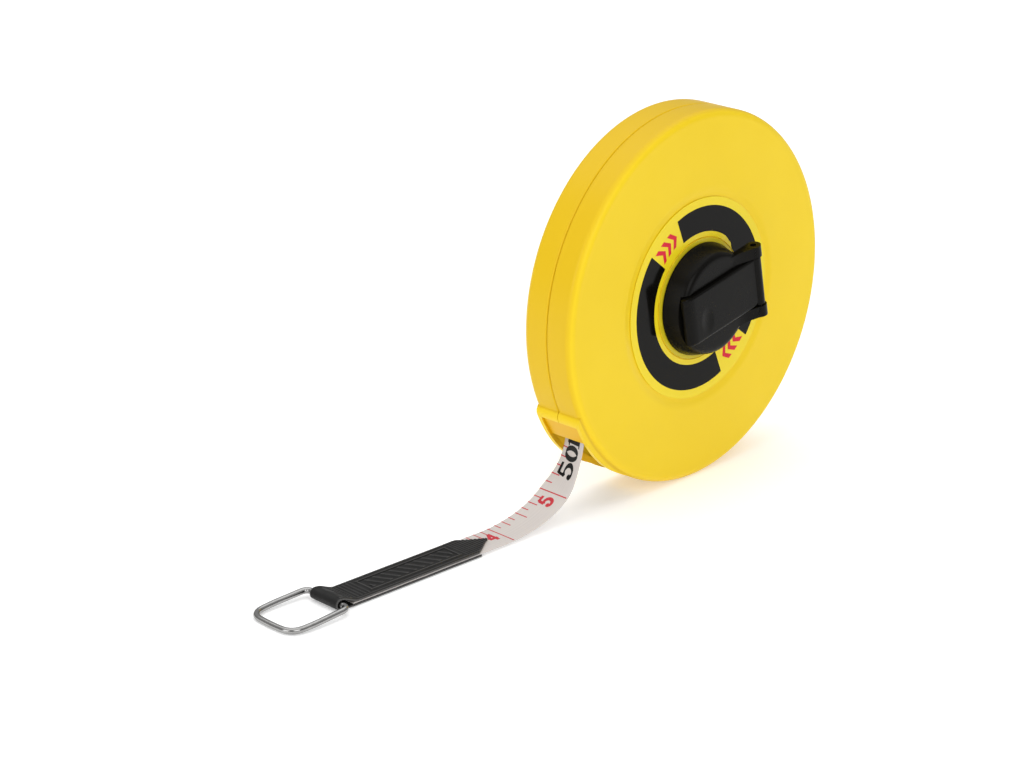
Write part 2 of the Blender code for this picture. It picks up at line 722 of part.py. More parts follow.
def main():
    clear_scene()
    yellow = material("case_yellow", (0.86, 0.61, 0.045), 0.34)
    label_yellow = material("label_yellow", (0.80, 0.62, 0.05), 0.28)
    black = material("crank_black", (0.018, 0.017, 0.016), 0.32)
    knob_black = material("knob_black", (0.022, 0.021, 0.020), 0.45)
    sleeve_black = material("sleeve_black", (0.030, 0.029, 0.028), 0.55)
    tape_white = material("tape_white", (0.74, 0.72, 0.69), 0.45)
    reel_plastic = material("reel_plastic", (0.55, 0.55, 0.53), 0.5)
    brass = material("bush_brass", (0.72, 0.52, 0.22), 0.35, 1.0)
    steel = material("plated_steel", (0.62, 0.61, 0.60), 0.22, 1.0)
    crank = add_empty("crank_axis", (0, SEAM_Y, 0))
    build_case(yellow, label_yellow, steel)
    reel_pieces(crank, reel_plastic, tape_white, brass, steel)
    build_hub(crank, black)
    build_lever(crank, black, steel, knob_black)
    build_tape(tape_white)
    build_end(sleeve_black, steel)


main()
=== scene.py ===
import json
import math

import bmesh
import bpy
from mathutils import Matrix, Vector


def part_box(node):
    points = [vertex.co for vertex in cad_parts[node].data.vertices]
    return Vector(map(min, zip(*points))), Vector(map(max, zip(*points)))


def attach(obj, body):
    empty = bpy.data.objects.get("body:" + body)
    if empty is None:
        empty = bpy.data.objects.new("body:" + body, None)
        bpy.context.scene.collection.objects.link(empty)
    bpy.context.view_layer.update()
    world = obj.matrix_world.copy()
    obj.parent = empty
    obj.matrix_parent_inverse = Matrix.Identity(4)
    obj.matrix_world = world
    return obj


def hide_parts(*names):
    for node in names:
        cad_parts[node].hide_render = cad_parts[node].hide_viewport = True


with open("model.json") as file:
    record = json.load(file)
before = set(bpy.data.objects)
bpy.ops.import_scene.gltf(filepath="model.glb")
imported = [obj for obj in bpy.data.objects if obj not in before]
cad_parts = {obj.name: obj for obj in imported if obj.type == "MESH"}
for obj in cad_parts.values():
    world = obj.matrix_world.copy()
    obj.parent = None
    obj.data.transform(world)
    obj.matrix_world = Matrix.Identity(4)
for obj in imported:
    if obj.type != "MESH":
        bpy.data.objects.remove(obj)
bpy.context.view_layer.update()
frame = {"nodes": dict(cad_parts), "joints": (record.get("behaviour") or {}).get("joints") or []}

MM = 0.001
FRONT_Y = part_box("front_case")[0].y
REAR_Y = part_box("rear_case")[1].y
SEAM_Y = (FRONT_Y + REAR_Y) / 2
CASE_RADIUS = 63.0 * MM
GROUND_Z = -CASE_RADIUS
MOUTH_HALF = 7.6 * MM
CRANK_ANGLE = 11.0
SEGMENTS = 180
RENDER_WIDTH = 1024.0
FOCAL_IN_WIDTHS = 2841.6 / RENDER_WIDTH
SENSOR_WIDTH = 36.0

# ---------------------------------------------------------------- camera and view
scene = bpy.context.scene
scene.view_settings.view_transform = 'Standard'
scene.view_settings.look = 'None'

azimuth = math.radians(-46.371)
elevation = math.radians(20.510)
back = Vector((
    math.sin(azimuth) * math.cos(elevation),
    -math.cos(azimuth) * math.cos(elevation),
    math.sin(elevation),
))
camera_data = bpy.data.cameras.new("camera")
camera_data.sensor_width = SENSOR_WIDTH
camera_data.lens = FOCAL_IN_WIDTHS * SENSOR_WIDTH
camera_data.clip_start = 0.05
camera_data.clip_end = 20.0
camera = bpy.data.objects.new("camera", camera_data)
scene.collection.objects.link(camera)
camera.location = Vector((-10.8385, -9.1417, 4.7749)) * CASE_RADIUS + Vector((0, SEAM_Y, 0))
camera.rotation_mode = 'QUATERNION'
camera.rotation_quaternion = (-back).to_track_quat('-Z', 'Y')
scene.camera = camera


# ---------------------------------------------------------------- node helpers
class Nodes:
    """A small helper for building one material's node tree."""

    def __init__(self, name):
        self.mat = bpy.data.materials.new(name)
        self.mat.use_nodes = True
        self.tree = self.mat.node_tree
        self.shader = self.tree.nodes["Principled BSDF"]
        coords = self.tree.nodes.new("ShaderNodeTexCoord")
        self.position = coords.outputs["Object"]

    def set(self, **values):
        for key, value in values.items():
            self.shader.inputs[key.replace("_", " ")].default_value = value
        return self

    def noise(self, scale, detail=3.0, rough=0.5, stretch=None, distortion=0.0):
        node = self.tree.nodes.new("ShaderNodeTexNoise")
        node.inputs["Scale"].default_value = scale
        node.inputs["Detail"].default_value = detail
        node.inputs["Roughness"].default_value = rough
        node.inputs["Distortion"].default_value = distortion
        source = self.position
        if stretch is not None:
            mapping = self.tree.nodes.new("ShaderNodeMapping")
            mapping.inputs["Scale"].default_value = stretch
            self.tree.links.new(source, mapping.inputs["Vector"])
            source = mapping.outputs["Vector"]
        self.tree.links.new(source, node.inputs["Vector"])
        return node.outputs["Fac"]

    def ramp(self, value, low, high, start=0.3, end=0.7):
        node = self.tree.nodes.new("ShaderNodeMapRange")
        node.inputs["From Min"].default_value = start
        node.inputs["From Max"].default_value = end
        node.inputs["To Min"].default_value = low
        node.inputs["To Max"].default_value = high
        self.tree.links.new(value, node.inputs["Value"])
        return node.outputs["Result"]

    def colours(self, value, stops):
        node = self.tree.nodes.new("ShaderNodeValToRGB")
        ramp = node.color_ramp
        while len(ramp.elements) < len(stops):
            ramp.elements.new(0.5)
        for element, (place, colour) in zip(ramp.elements, stops):
            element.position = place
            element.color = (*colour, 1.0)
        self.tree.links.new(value, node.inputs["Fac"])
        return node.outputs["Color"]

    def mix(self, factor, first, second):
        node = self.tree.nodes.new("ShaderNodeMix")
        node.data_type = 'RGBA'
        for socket, value in ((node.inputs[0], factor), (node.inputs[6], first), (node.inputs[7], second)):
            if isinstance(value, bpy.types.NodeSocket):
                self.tree.links.new(value, socket)
            elif isinstance(value, tuple):
                socket.default_value = (*value, 1.0)
            else:
                socket.default_value = value
        return node.outputs[2]

    def math(self, operation, first, second=0.0):
        node = self.tree.nodes.new("ShaderNodeMath")
        node.operation = operation
        for socket, value in zip(node.inputs, (first, second)):
            if isinstance(value, bpy.types.NodeSocket):
                self.tree.links.new(value, socket)
            else:
                socket.default_value = value
        return node.outputs[0]

    def axis(self, name):
        node = self.tree.nodes.new("ShaderNodeSeparateXYZ")
        self.tree.links.new(self.position, node.inputs[0])
        return node.outputs[name]

    def radius(self):
        """Distance from the Y axis."""
        flat = self.tree.nodes.new("ShaderNodeMapping")
        flat.inputs["Scale"].default_value = (1.0, 0.0, 1.0)
        self.tree.links.new(self.position, flat.inputs["Vector"])
        length = self.tree.nodes.new("ShaderNodeVectorMath")
        length.operation = 'LENGTH'
        self.tree.links.new(flat.outputs["Vector"], length.inputs[0])
        return length.outputs["Value"]

    def link(self, output, name):
        self.tree.links.new(output, self.shader.inputs[name])
        return self

    def bump(self, heights):
        """Chain bump nodes from (height output, strength, distance)."""
        normal = None
        for height, strength, distance in heights:
            node = self.tree.nodes.new("ShaderNodeBump")
            node.inputs["Strength"].default_value = strength
            node.inputs["Distance"].default_value = distance
            self.tree.links.new(height, node.inputs["Height"])
            if normal is not None:
                self.tree.links.new(normal, node.inputs["Normal"])
            normal = node.outputs["Normal"]
        self.tree.links.new(normal, self.shader.inputs["Normal"])
        return self


# ---------------------------------------------------------------- materials
def rim_shade_band(n):
    """Painted shade mask: one on the round rim, which is painted a darker orange for its shade, and none on
    the faces or on what stands above the rim.
    """
    outside = n.ramp(n.radius(), 0.0, 1.0, CASE_RADIUS - 1.0 * MM, CASE_RADIUS)
    below_lip = n.ramp(n.radius(), 1.0, 0.0, CASE_RADIUS + 0.15 * MM, CASE_RADIUS + 0.6 * MM)
    return n.math('MULTIPLY', outside, below_lip)


def mouth_glow_zone(n):
    """Painted glow mask: one between the side walls of the mouth, where orange is painted for light glowing
    through the thin plastic.
    """
    low = n.ramp(n.axis("Z"), 1.0, 0.0, -31.2 * MM, -30.4 * MM)
    left = n.ramp(n.axis("X"), 1.0, 0.0, -30.0 * MM, -26.0 * MM)
    from_seam = n.math('ABSOLUTE', n.math('SUBTRACT', n.axis("Y"), SEAM_Y))
    between = n.ramp(from_seam, 1.0, 0.0, MOUTH_HALF + 0.08 * MM, MOUTH_HALF + 0.18 * MM)
    return n.math('MULTIPLY', n.math('MULTIPLY', low, left), between)


def mouth_painted_glow(n):
    """Painted glow: bright orange inside the case to lift its shade, and a deeper painted orange on the
    hanging wall in its shade.
    """
    outside = n.ramp(n.radius(), 0.0, 1.0, CASE_RADIUS, CASE_RADIUS + 0.6 * MM)
    return n.mix(outside, (1.0, 0.62, 0.020), (0.80, 0.455, 0.001))


def moulded(name, dark, light, roughness, grain, specular, rim=None):
    """Moulded plastic: slight colour drift, fine spark-eroded grain, uneven gloss. A rim colour, when given,
    paints shade on the rim and a glowing orange in the mouth.
    """
    n = Nodes(name)
    drift = n.noise(22.0, 4.0, 0.55)
    colour = n.colours(drift, [(0.3, dark), (0.7, light)])
    # painted light: a darker orange on the rim for its shade, and a painted orange glow in the mouth
    if rim is not None:
        colour = n.mix(rim_shade_band(n), colour, rim)
        colour = n.mix(mouth_glow_zone(n), colour, mouth_painted_glow(n))
    n.link(colour, "Base Color")
    fine = n.noise(grain, 2.0, 0.6)
    smudge = n.noise(60.0, 5.0, 0.6)
    n.link(n.ramp(smudge, roughness - 0.04, roughness + 0.06), "Roughness")
    n.bump([(fine, 0.10, 0.00006), (n.noise(90.0, 2.0), 0.05, 0.0002)])
    n.set(Specular_IOR_Level=specular)
    return n.mat


def printed(name, dark, light, roughness, specular):
    """Glossy printed film."""
    n = Nodes(name)
    n.link(n.colours(n.noise(40.0, 3.0), [(0.3, dark), (0.7, light)]), "Base Color")
    n.link(n.ramp(n.noise(130.0, 4.0), roughness - 0.03, roughness + 0.05), "Roughness")
    n.bump([(n.noise(55.0, 2.0), 0.05, 0.0002), (n.noise(1500.0, 2.0), 0.05, 0.00003)])
    n.set(Specular_IOR_Level=specular)
    return n.mat


def metal(name, dark, light, roughness, stretch=None):
    """Metal with fine polishing marks."""
    n = Nodes(name)
    n.link(n.colours(n.noise(300.0, 4.0), [(0.3, dark), (0.7, light)]), "Base Color")
    n.link(n.ramp(n.noise(900.0, 4.0, 0.6, stretch), roughness * 0.7, roughness * 1.4), "Roughness")
    n.bump([(n.noise(1800.0, 3.0, 0.6, stretch), 0.10, 0.00004), (n.noise(120.0, 2.0), 0.12, 0.0003)])
    n.set(Metallic=1.0)
    return n.mat


def tape_material():
    """White coated glass-fibre tape: faint lengthwise threads under a satin skin."""
    n = Nodes("tape_white")
    along = n.noise(400.0, 3.0, 0.5, (0.05, 6.0, 0.05))
    n.link(n.colours(along, [(0.3, (0.615, 0.575, 0.555)), (0.7, (0.660, 0.620, 0.600))]), "Base Color")
    n.link(n.ramp(n.noise(160.0, 3.0), 0.36, 0.5), "Roughness")
    n.bump([(along, 0.06, 0.00004), (n.noise(2600.0, 2.0), 0.06, 0.00003)])
    n.set(Specular_IOR_Level=0.3)
    return n.mat


def ink(name, dark, light):
    """Slightly uneven printing ink."""
    n = Nodes(name)
    n.link(n.colours(n.noise(1400.0, 4.0, 0.65), [(0.32, dark), (0.6, light)]), "Base Color")
    n.link(n.ramp(n.noise(700.0, 3.0), 0.38, 0.55), "Roughness")
    n.bump([(n.noise(2200.0, 2.0), 0.10, 0.00003)])
    n.set(Specular_IOR_Level=0.12)
    return n.mat


def sleeve_material():
    """Soft embossed plastic with a pebbled grain, slightly paler on its ridges, and painted shade darkening
    its grooves.
    """
    n = Nodes("sleeve_black")
    pebble = n.noise(2600.0, 3.0, 0.6)
    base = n.colours(n.noise(90.0, 4.0), [(0.3, (0.008, 0.008, 0.008)), (0.7, (0.012, 0.0115, 0.011))])
    geometry = n.tree.nodes.new("ShaderNodeNewGeometry")
    edge = n.ramp(geometry.outputs["Pointiness"], 0.0, 0.8, 0.505, 0.56)
    # painted shade: the grooves are darkened towards black
    groove = n.ramp(geometry.outputs["Pointiness"], 0.9, 0.0, 0.44, 0.495)
    ridged = n.mix(edge, base, (0.11, 0.108, 0.106))
    n.link(n.mix(groove, ridged, (0.0015, 0.0015, 0.0015)), "Base Color")
    n.set(Specular_IOR_Level=0.19)
    n.link(n.ramp(n.noise(420.0, 3.0), 0.42, 0.6), "Roughness")
    n.bump([(pebble, 0.22, 0.00008)])
    return n.mat


# the last colour is painted shade: the darker orange of the rim
YELLOW = moulded(
    "case_yellow", (0.865, 0.610, 0.012), (0.900, 0.645, 0.016), 0.38, 2600.0, 0.20, (0.75, 0.487, 0.009),
)
LABEL_YELLOW = printed("label_yellow", (0.85, 0.66, 0.012), (0.89, 0.70, 0.018), 0.20, 0.25)
# painted shade: a darker yellow for the shaded gap round the hub
PAINTED_HUB_SHADE = printed("label_painted_shade", (0.62, 0.50, 0.014), (0.68, 0.54, 0.018), 0.26, 0.2)
LABEL_BLACK = printed("label_black", (0.0034, 0.0031, 0.0025), (0.0044, 0.0040, 0.0032), 0.09, 0.09)
LABEL_RED = printed("label_red", (0.66, 0.006, 0.026), (0.72, 0.010, 0.034), 0.20, 0.2)
BLACK = moulded("crank_black", (0.0032, 0.0029, 0.0024), (0.0046, 0.0043, 0.0036), 0.28, 2300.0, 0.09)
KNOB_BLACK = moulded("knob_black", (0.012, 0.012, 0.011), (0.018, 0.017, 0.016), 0.46, 1800.0, 0.3)
REEL = moulded("reel_plastic", (0.50, 0.50, 0.48), (0.58, 0.58, 0.56), 0.48, 2000.0, 0.4)
TAPE = tape_material()
RED_INK = ink("red_ink", (0.50, 0.032, 0.048), (0.60, 0.055, 0.072))
BLACK_INK = ink("black_ink", (0.0030, 0.0028, 0.0026), (0.0075, 0.0070, 0.0066))
SLEEVE = sleeve_material()
CHROME = metal("polished_steel", (0.30, 0.297, 0.292), (0.40, 0.397, 0.392), 0.15)
ZINC = metal("plated_steel", (0.50, 0.50, 0.50), (0.62, 0.62, 0.61), 0.30, (1.0, 6.0, 1.0))
BRASS = metal("bush_brass", (0.62, 0.42, 0.16), (0.74, 0.54, 0.24), 0.32)


# ---------------------------------------------------------------- mesh helpers
def new_object(name, bm):
    """Put a bmesh in the scene, with its faces turned outwards."""
    bmesh.ops.recalc_face_normals(bm, faces=bm.faces)
    mesh = bpy.data.meshes.new(name)
    bm.to_mesh(mesh)
    bm.free()
    item = bpy.data.objects.new(name, mesh)
    scene.collection.objects.link(item)
    return item


def shade(mesh, smooth):
    """Smooth shading, but sharp at edges steeper than an angle in degrees."""
    mesh.shade_smooth()
    mesh.set_sharp_from_angle(angle=math.radians(smooth))


def make(name, bm, mat, body=None, smooth=32.0):
    """Turn a bmesh into a piece, which rides on a body if one is given."""
    item = new_object(name, bm)
    shade(item.data, smooth)
    item.data.materials.append(mat)
    if body is not None:
        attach(item, body)
    return item


def baked_mesh(item):
    """The mesh that an object's modifiers give."""
    graph = bpy.context.evaluated_depsgraph_get()
    graph.update()
    return bpy.data.meshes.new_from_object(item.evaluated_get(graph))


def finish_piece(item, smooth, body, node):
    """Bake an object's modifiers into its mesh, drop its cutters and put it in a CAD node's place."""
    tools = [m.object for m in item.modifiers if m.type == 'BOOLEAN']
    mesh = baked_mesh(item)
    item.modifiers.clear()
    item.data = mesh
    shade(mesh, smooth)
    weighted = item.modifiers.new("weighted", 'WEIGHTED_NORMAL')
    weighted.keep_sharp = True
    weighted.weight = 100
    item.data = baked_mesh(item)
    item.modifiers.clear()
    for tool in tools:
        bpy.data.objects.remove(tool, do_unlink=True)
    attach(item, body)
    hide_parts(node)


def boolean(item, bm, operation, name):
    """Add a shape to an object, or cut it away."""
    tool = new_object(name, bm)
    tool.hide_render = True
    modifier = item.modifiers.new(name, 'BOOLEAN')
    modifier.operation = operation
    modifier.solver = 'EXACT'
    modifier.object = tool
    modifier.material_mode = 'INDEX'


def soften(item, width, segments, angle):
    """Round the edges that are steeper than an angle in degrees."""
    bevel = item.modifiers.new("soften", 'BEVEL')
    bevel.width = width
    bevel.segments = segments
    bevel.limit_method = 'ANGLE'
    bevel.angle_limit = math.radians(angle)
    bevel.use_clamp_overlap = True


def smooth_step(value, low, high):
    """0 below low, 1 above high, and a soft change between."""
    t = min(max((value - low) / (high - low), 0.0), 1.0)
    return t * t * (3 - 2 * t)


def polar(radius, degrees):
    angle = math.radians(degrees)
    return radius * math.cos(angle), radius * math.sin(angle)


def rim_points(*places):
    """(x, z) points from (radius in mm, degrees) places round the case."""
    return [polar(radius * MM, degrees) for radius, degrees in places]


def arc(radius, start, end, steps):
    return [polar(radius, start + (end - start) * index / steps) for index in range(steps + 1)]


def round_corners(points, reaches, steps):
    """Round a closed outline. Each curve starts and ends at its reach from its corner."""
    out = []
    count = len(points)
    for index, (here, reach) in enumerate(zip(points, reaches)):
        here = Vector(here)
        before = Vector(points[index - 1])
        after = Vector(points[(index + 1) % count])
        first = here + (before - here).normalized() * reach
        last = here + (after - here).normalized() * reach
        for step in range(steps + 1):
            t = step / steps
            point = first * (1 - t) ** 2 + here * 2 * t * (1 - t) + last * t * t
            out.append(tuple(point))
    return out


def turned(profile, segments=SEGMENTS, centre=(0, 0)):
    """Spin a closed (radius, y) profile about the Y axis through centre (x, z)."""
    bm = bmesh.new()
    first = [bm.verts.new((centre[0] + r, y, centre[1])) for r, y in profile]
    edges = [bm.edges.new((v, first[(i + 1) % len(first)])) for i, v in enumerate(first)]
    bmesh.ops.spin(
        bm,
        geom=first + edges,
        cent=(centre[0], 0, centre[1]),
        axis=(0, 1, 0),
        dvec=(0, 0, 0),
        angle=2 * math.pi,
        steps=segments,
        use_merge=True,
    )
    bmesh.ops.remove_doubles(bm, verts=bm.verts, dist=1e-7)
    loose = [edge for edge in bm.edges if not edge.link_faces]
    bmesh.ops.delete(bm, geom=loose, context='EDGES')
    return bm


def extrude(bm, corners, vector):
    """Add a solid: a flat outline, swept along a vector."""
    face = bm.faces.new([bm.verts.new(corner) for corner in corners])
    result = bmesh.ops.extrude_face_region(bm, geom=[face])
    moved = [item for item in result["geom"] if isinstance(item, bmesh.types.BMVert)]
    bmesh.ops.translate(bm, verts=moved, vec=vector)
    return bm


def prism(outline, start, end):
    """Extrude an (x, z) outline along Y."""
    return extrude(bmesh.new(), [(x, start, z) for x, z in outline], (0, end - start, 0))


def rod(start, end, radius, sides):
    """A round bar between two points."""
    bm = bmesh.new()
    start = Vector(start)
    end = Vector(end)
    turn = (end - start).to_track_quat('Z', 'Y').to_matrix().to_4x4()
    bmesh.ops.create_cone(
        bm, cap_ends=True, segments=sides, radius1=radius, radius2=radius,
        depth=(end - start).length, matrix=Matrix.Translation((start + end) / 2) @ turn,
    )
    return bm


def crank_point(u, v, height):
    """A point from its place along the lever, across it and above the case's front face."""
    along_x, along_z = polar(1.0, CRANK_ANGLE)
    return Vector((u * along_x - v * along_z, FRONT_Y - height, u * along_z + v * along_x))


def crank_turn(bm):
    """Take a shape built in (u, height as -y, v) into the crank's place."""
    turn = Matrix.Rotation(-math.radians(CRANK_ANGLE), 4, 'Y')
    bmesh.ops.transform(bm, matrix=Matrix.Translation((0, FRONT_Y, 0)) @ turn, verts=bm.verts)
    return bm


def crank_rod(start, end, radius, sides):
    """A round bar between two (u, v, height) points in mm."""
    ends = [crank_point(u * MM, v * MM, height * MM) for u, v, height in (start, end)]
    return rod(*ends, radius * MM, sides)


def crank_prism(outline, across):
    """Extrude a (u, height) outline across the crank, in mm."""
    corners = [(u * MM, -height * MM, across[0] * MM) for u, height in outline]
    return crank_turn(extrude(bmesh.new(), corners, (0, 0, across[1] * MM - across[0] * MM)))


# ---------------------------------------------------------------- case
MOUTH_START = 210.0
MOUTH_END = 246.0
SEAM_GAP = 0.12 * MM
WALL = 2.0 * MM
EDGE_RADIUS = 2.6 * MM


def case_profile(front):
    """Section of a case half, from its centre opening round the rim to the inside of its wall."""
    face = FRONT_Y if front else REAR_Y
    inward = 1 if front else -1
    seam = SEAM_Y - inward * SEAM_GAP
    inner = CASE_RADIUS - WALL
    centre = [(16.9, 0.35), (17.2, 0.0), (20.3, 0.0), (20.5, 0.15), (20.6, 0.6)] if front else [(0.0, 0.6)]
    groove = [(34.35, 0.6), (34.5, 0.56), (35.0, 0.51), (35.5, 0.41), (36.0, 0.28), (36.6, 0.13)]
    groove += [(37.2, 0.04), (38.0, 0.0)]
    pts = [(r * MM, face + inward * depth * MM) for r, depth in centre + groove]
    for index in range(11):
        angle = math.radians(90 * (1 - index / 10))
        r = CASE_RADIUS - EDGE_RADIUS + EDGE_RADIUS * math.cos(angle)
        depth = EDGE_RADIUS - EDGE_RADIUS * math.sin(angle)
        pts.append((r, face + inward * depth))
    for step_in, back_off in ((0.0, 0.45), (0.12, 0.2), (0.42, 0.04), (0.7, 0.0)):
        pts.append((CASE_RADIUS - step_in * MM, seam - inward * back_off * MM))
    if front:
        pts += [(inner, seam)]
    else:
        lip = SEAM_Y - 1.4 * MM
        pts += [(inner - 0.3 * MM, seam), (inner - 0.3 * MM, lip), (inner - 1.4 * MM, lip)]
        pts += [(inner - 1.4 * MM, seam + 1.2 * MM), (inner, seam + 1.2 * MM)]
    hole = 16.9 * MM if front else 0.0
    return pts + [(inner, face + inward * WALL), (hole, face + inward * WALL)]


def collar_outline():
    """The swelling beside the mouth, highest below the lip and fading towards the foot."""
    outline = arc(61.4 * MM, 205.2, 240.0, 20)
    crest = [(62.75, 240.0), (63.5, 235.0), (64.25, 230.0), (64.75, 225.0), (64.95, 220.0), (64.85, 214.0)]
    crest += [(64.65, 209.5), (64.6, 208.0), (64.45, 207.0), (64.1, 206.2), (63.4, 205.6), (62.8, 205.2)]
    for (radius, angle), (next_radius, next_angle) in zip(crest, crest[1:]):
        for t in (0, 1 / 3, 2 / 3):
            reach = (radius + (next_radius - radius) * t) * MM
            outline.append(polar(reach, angle + (next_angle - angle) * t))
    return outline + rim_points(crest[-1])


def add_mouth(half, front, inward):
    """Cut the mouth, then add the lip over it, the hanging wall and the collar."""
    seam = SEAM_Y - inward * SEAM_GAP
    side = SEAM_Y - inward * (MOUTH_HALF + 0.35 * MM)
    window = arc(70 * MM, MOUTH_START, MOUTH_END, 12) + arc(58.5 * MM, MOUTH_END, MOUTH_START, 12)
    boolean(half, prism(window, SEAM_Y - MOUTH_HALF, SEAM_Y + MOUTH_HALF), 'DIFFERENCE', "window")
    if not front:
        notch = rim_points((61.35, 208.93), (66.0, 208.93), (66.0, 210.6), (61.35, 210.6))
        boolean(half, prism(notch, SEAM_Y - 1.0 * MM, SEAM_Y + MOUTH_HALF), 'DIFFERENCE', "notch")
    lip = rim_points(
        (61.6, 205.2), (62.9, 205.2), (64.2, 206.3), (64.55, 207.3), (64.6, 208.3), (64.35, 208.7),
        (61.6, 208.9),
    )
    boolean(half, prism(lip, *sorted((side, seam))), 'UNION', "lip")
    if front:
        root = rim_points((63.9, 208.4), (63.9, 209.1), (61.4, 209.1), (61.4, 208.4))
        wall = rim_points(
            (63.95, 208.95), (63.9, 210.5), (63.95, 213.5), (64.05, 216.0), (63.8, 216.3), (63.45, 216.1),
            (62.5, 212.5), (61.45, 210.3), (61.45, 208.95),
        )
        hang = side - 0.06 * MM
        boolean(half, prism(root, hang, seam), 'UNION', "wall_root")
        boolean(half, prism(wall, hang, SEAM_Y + MOUTH_HALF - 0.08 * MM), 'UNION', "wall")
    near = SEAM_Y - inward * (MOUTH_HALF + 0.03 * MM)
    far = SEAM_Y - inward * (MOUTH_HALF + 1.65 * MM)
    boolean(half, prism(collar_outline(), *sorted((near, far))), 'UNION', "collar")


def screw_place(number):
    """Low and high corners of a case screw, and its (x, z) centre."""
    low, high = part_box(f"case_screw_{number}")
    return low, high, ((low.x + high.x) / 2, (low.z + high.z) / 2)


def case_half(front):
    node = "front_case" if front else "rear_case"
    half = make(node + "_shell", turned(case_profile(front)), YELLOW)
    add_mouth(half, front, 1 if front else -1)
    if not front:
        sink = [(0, 1.0), (3.5, 1.0), (3.5, 0.1), (2.9, -0.35), (2.9, -2.0), (0, -2.0)]
        for number in range(1, 6):
            at = screw_place(number)[2]
            boolean(half, turned([(r * MM, y * MM) for r, y in sink], 40, at), 'DIFFERENCE', f"sink_{number}")
    soften(half, 0.22 * MM, 2, 38.0)
    finish_piece(half, 40.0, "case", node)


case_half(True)
case_half(False)


def screw_head(number):
    """Countersunk cross-recess screw seen in the rear face."""
    low, high, at = screw_place(number)
    top = high.y
    head = [(0, 0.0), (1.6, 0.02), (2.3, 0.22), (2.58, 0.55), (2.58, 1.2), (1.2, 1.3)]
    shape = [(r * MM, top - depth * MM) for r, depth in head] + [(1.15 * MM, low.y + 0.6 * MM), (0, low.y)]
    screw = make(f"rear_screw_{number}", turned(shape, 40, at), ZINC)
    for turn in (0, 90):
        along_x, along_z = polar(1.0, 20 * number + turn)
        place = Matrix.Translation((at[0], top, at[1]))
        heading = Vector((along_x, 0, along_z)).to_track_quat('X', 'Y').to_matrix().to_4x4()
        size = Matrix.Diagonal((2.6 * MM, 2.0 * MM, 0.55 * MM, 1))
        bm = bmesh.new()
        bmesh.ops.create_cube(bm, size=1.0, matrix=place @ heading @ size)
        boolean(screw, bm, 'DIFFERENCE', "cross")
    soften(screw, 0.06 * MM, 1, 40)
    finish_piece(screw, 40, "case", f"case_screw_{number}")


for number in range(1, 6):
    screw_head(number)


# ---------------------------------------------------------------- labels
def ring_plate(name, inner, outer, low, high, mat, node=None):
    """A thin flat ring or disc with eased edges."""
    edge = 0.05 * MM
    first, last = sorted((low, high))
    pts = [(outer, first + edge), (outer, last - edge), (outer - edge, last)]
    if inner > 0:
        pts += [(inner + edge, last), (inner, last - edge), (inner, first + edge), (inner + edge, first)]
    else:
        pts += [(0, last), (0, first)]
    pts += [(outer - edge, first)]
    piece = make(name, turned(pts), mat, "case")
    if node:
        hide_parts(node)
    return piece


def flat_patch(name, outlines, y, outward, mat, thickness=0.05 * MM):
    """Thin shapes lying on a face, from (x, z) outlines: printed marks, and the painted shadow and reflection
    by the hub.
    """
    bm = bmesh.new()
    for outline in outlines:
        extrude(bm, [(x, y, z) for x, z in outline], (0, outward * thickness, 0))
    return make(name, bm, mat, "case", 20.0)


def sector(inner, outer, start, end, steps):
    return arc(outer, start, end, steps) + arc(inner, end, start, steps)


LABEL_Y = FRONT_Y + 0.22 * MM
REAR_LABEL_Y = REAR_Y - 0.05 * MM
LABEL_INNER = 20.8 * MM
LABEL_OUTER = 34.1 * MM
ARC_INNER = 22.6 * MM
ARC_OUTER = 31.25 * MM


def upper_arc():
    """The upper black arc, which also runs in to the hub on the side of the lever's hinge; that inner part is
    painted shadow and reflection of the ear.
    """
    outline = arc(ARC_OUTER, 112.4, -37.5, 96) + arc(20.95 * MM, -37.5, 40.0, 48)
    outline += rim_points((22.0, 45.0), (22.5, 54.0))
    return outline + arc(ARC_INNER, 56.0, 112.4, 40)


def chevrons(centre_angle):
    """Three arrow marks that point clockwise round the label."""
    mark = [(23.9, 0.0), (26.9, 4.2), (29.9, 0.0), (29.9, -3.6), (26.9, 0.6), (23.9, -3.6)]
    starts = [centre_angle + index * 7.0 + 1.6 for index in (-1, 0, 1)]
    return [rim_points(*((radius, start - lead) for radius, lead in mark)) for start in starts]


label_back = FRONT_Y + 0.5 * MM
ring_plate("front_label_disc", LABEL_INNER, LABEL_OUTER, LABEL_Y, label_back, LABEL_YELLOW, "front_label")
flat_patch("front_label_arc_upper", [upper_arc()], LABEL_Y, -1, LABEL_BLACK)
lower_arc = sector(ARC_INNER, ARC_OUTER, 141.0, 293.0, 96)
flat_patch("front_label_arc_lower", [lower_arc], LABEL_Y, -1, LABEL_BLACK)
flat_patch("front_label_marks_upper", chevrons(126.5), LABEL_Y, -1, LABEL_RED)
flat_patch("front_label_marks_lower", chevrons(308.0), LABEL_Y, -1, LABEL_RED)
# painted shade: a darker ring on the face round the hub, where the gap by the hub lies in shade
ring_plate("hub_painted_shade_ring", 17.2 * MM, 20.45 * MM, FRONT_Y - 0.02 * MM, FRONT_Y + 0.04 * MM, PAINTED_HUB_SHADE)
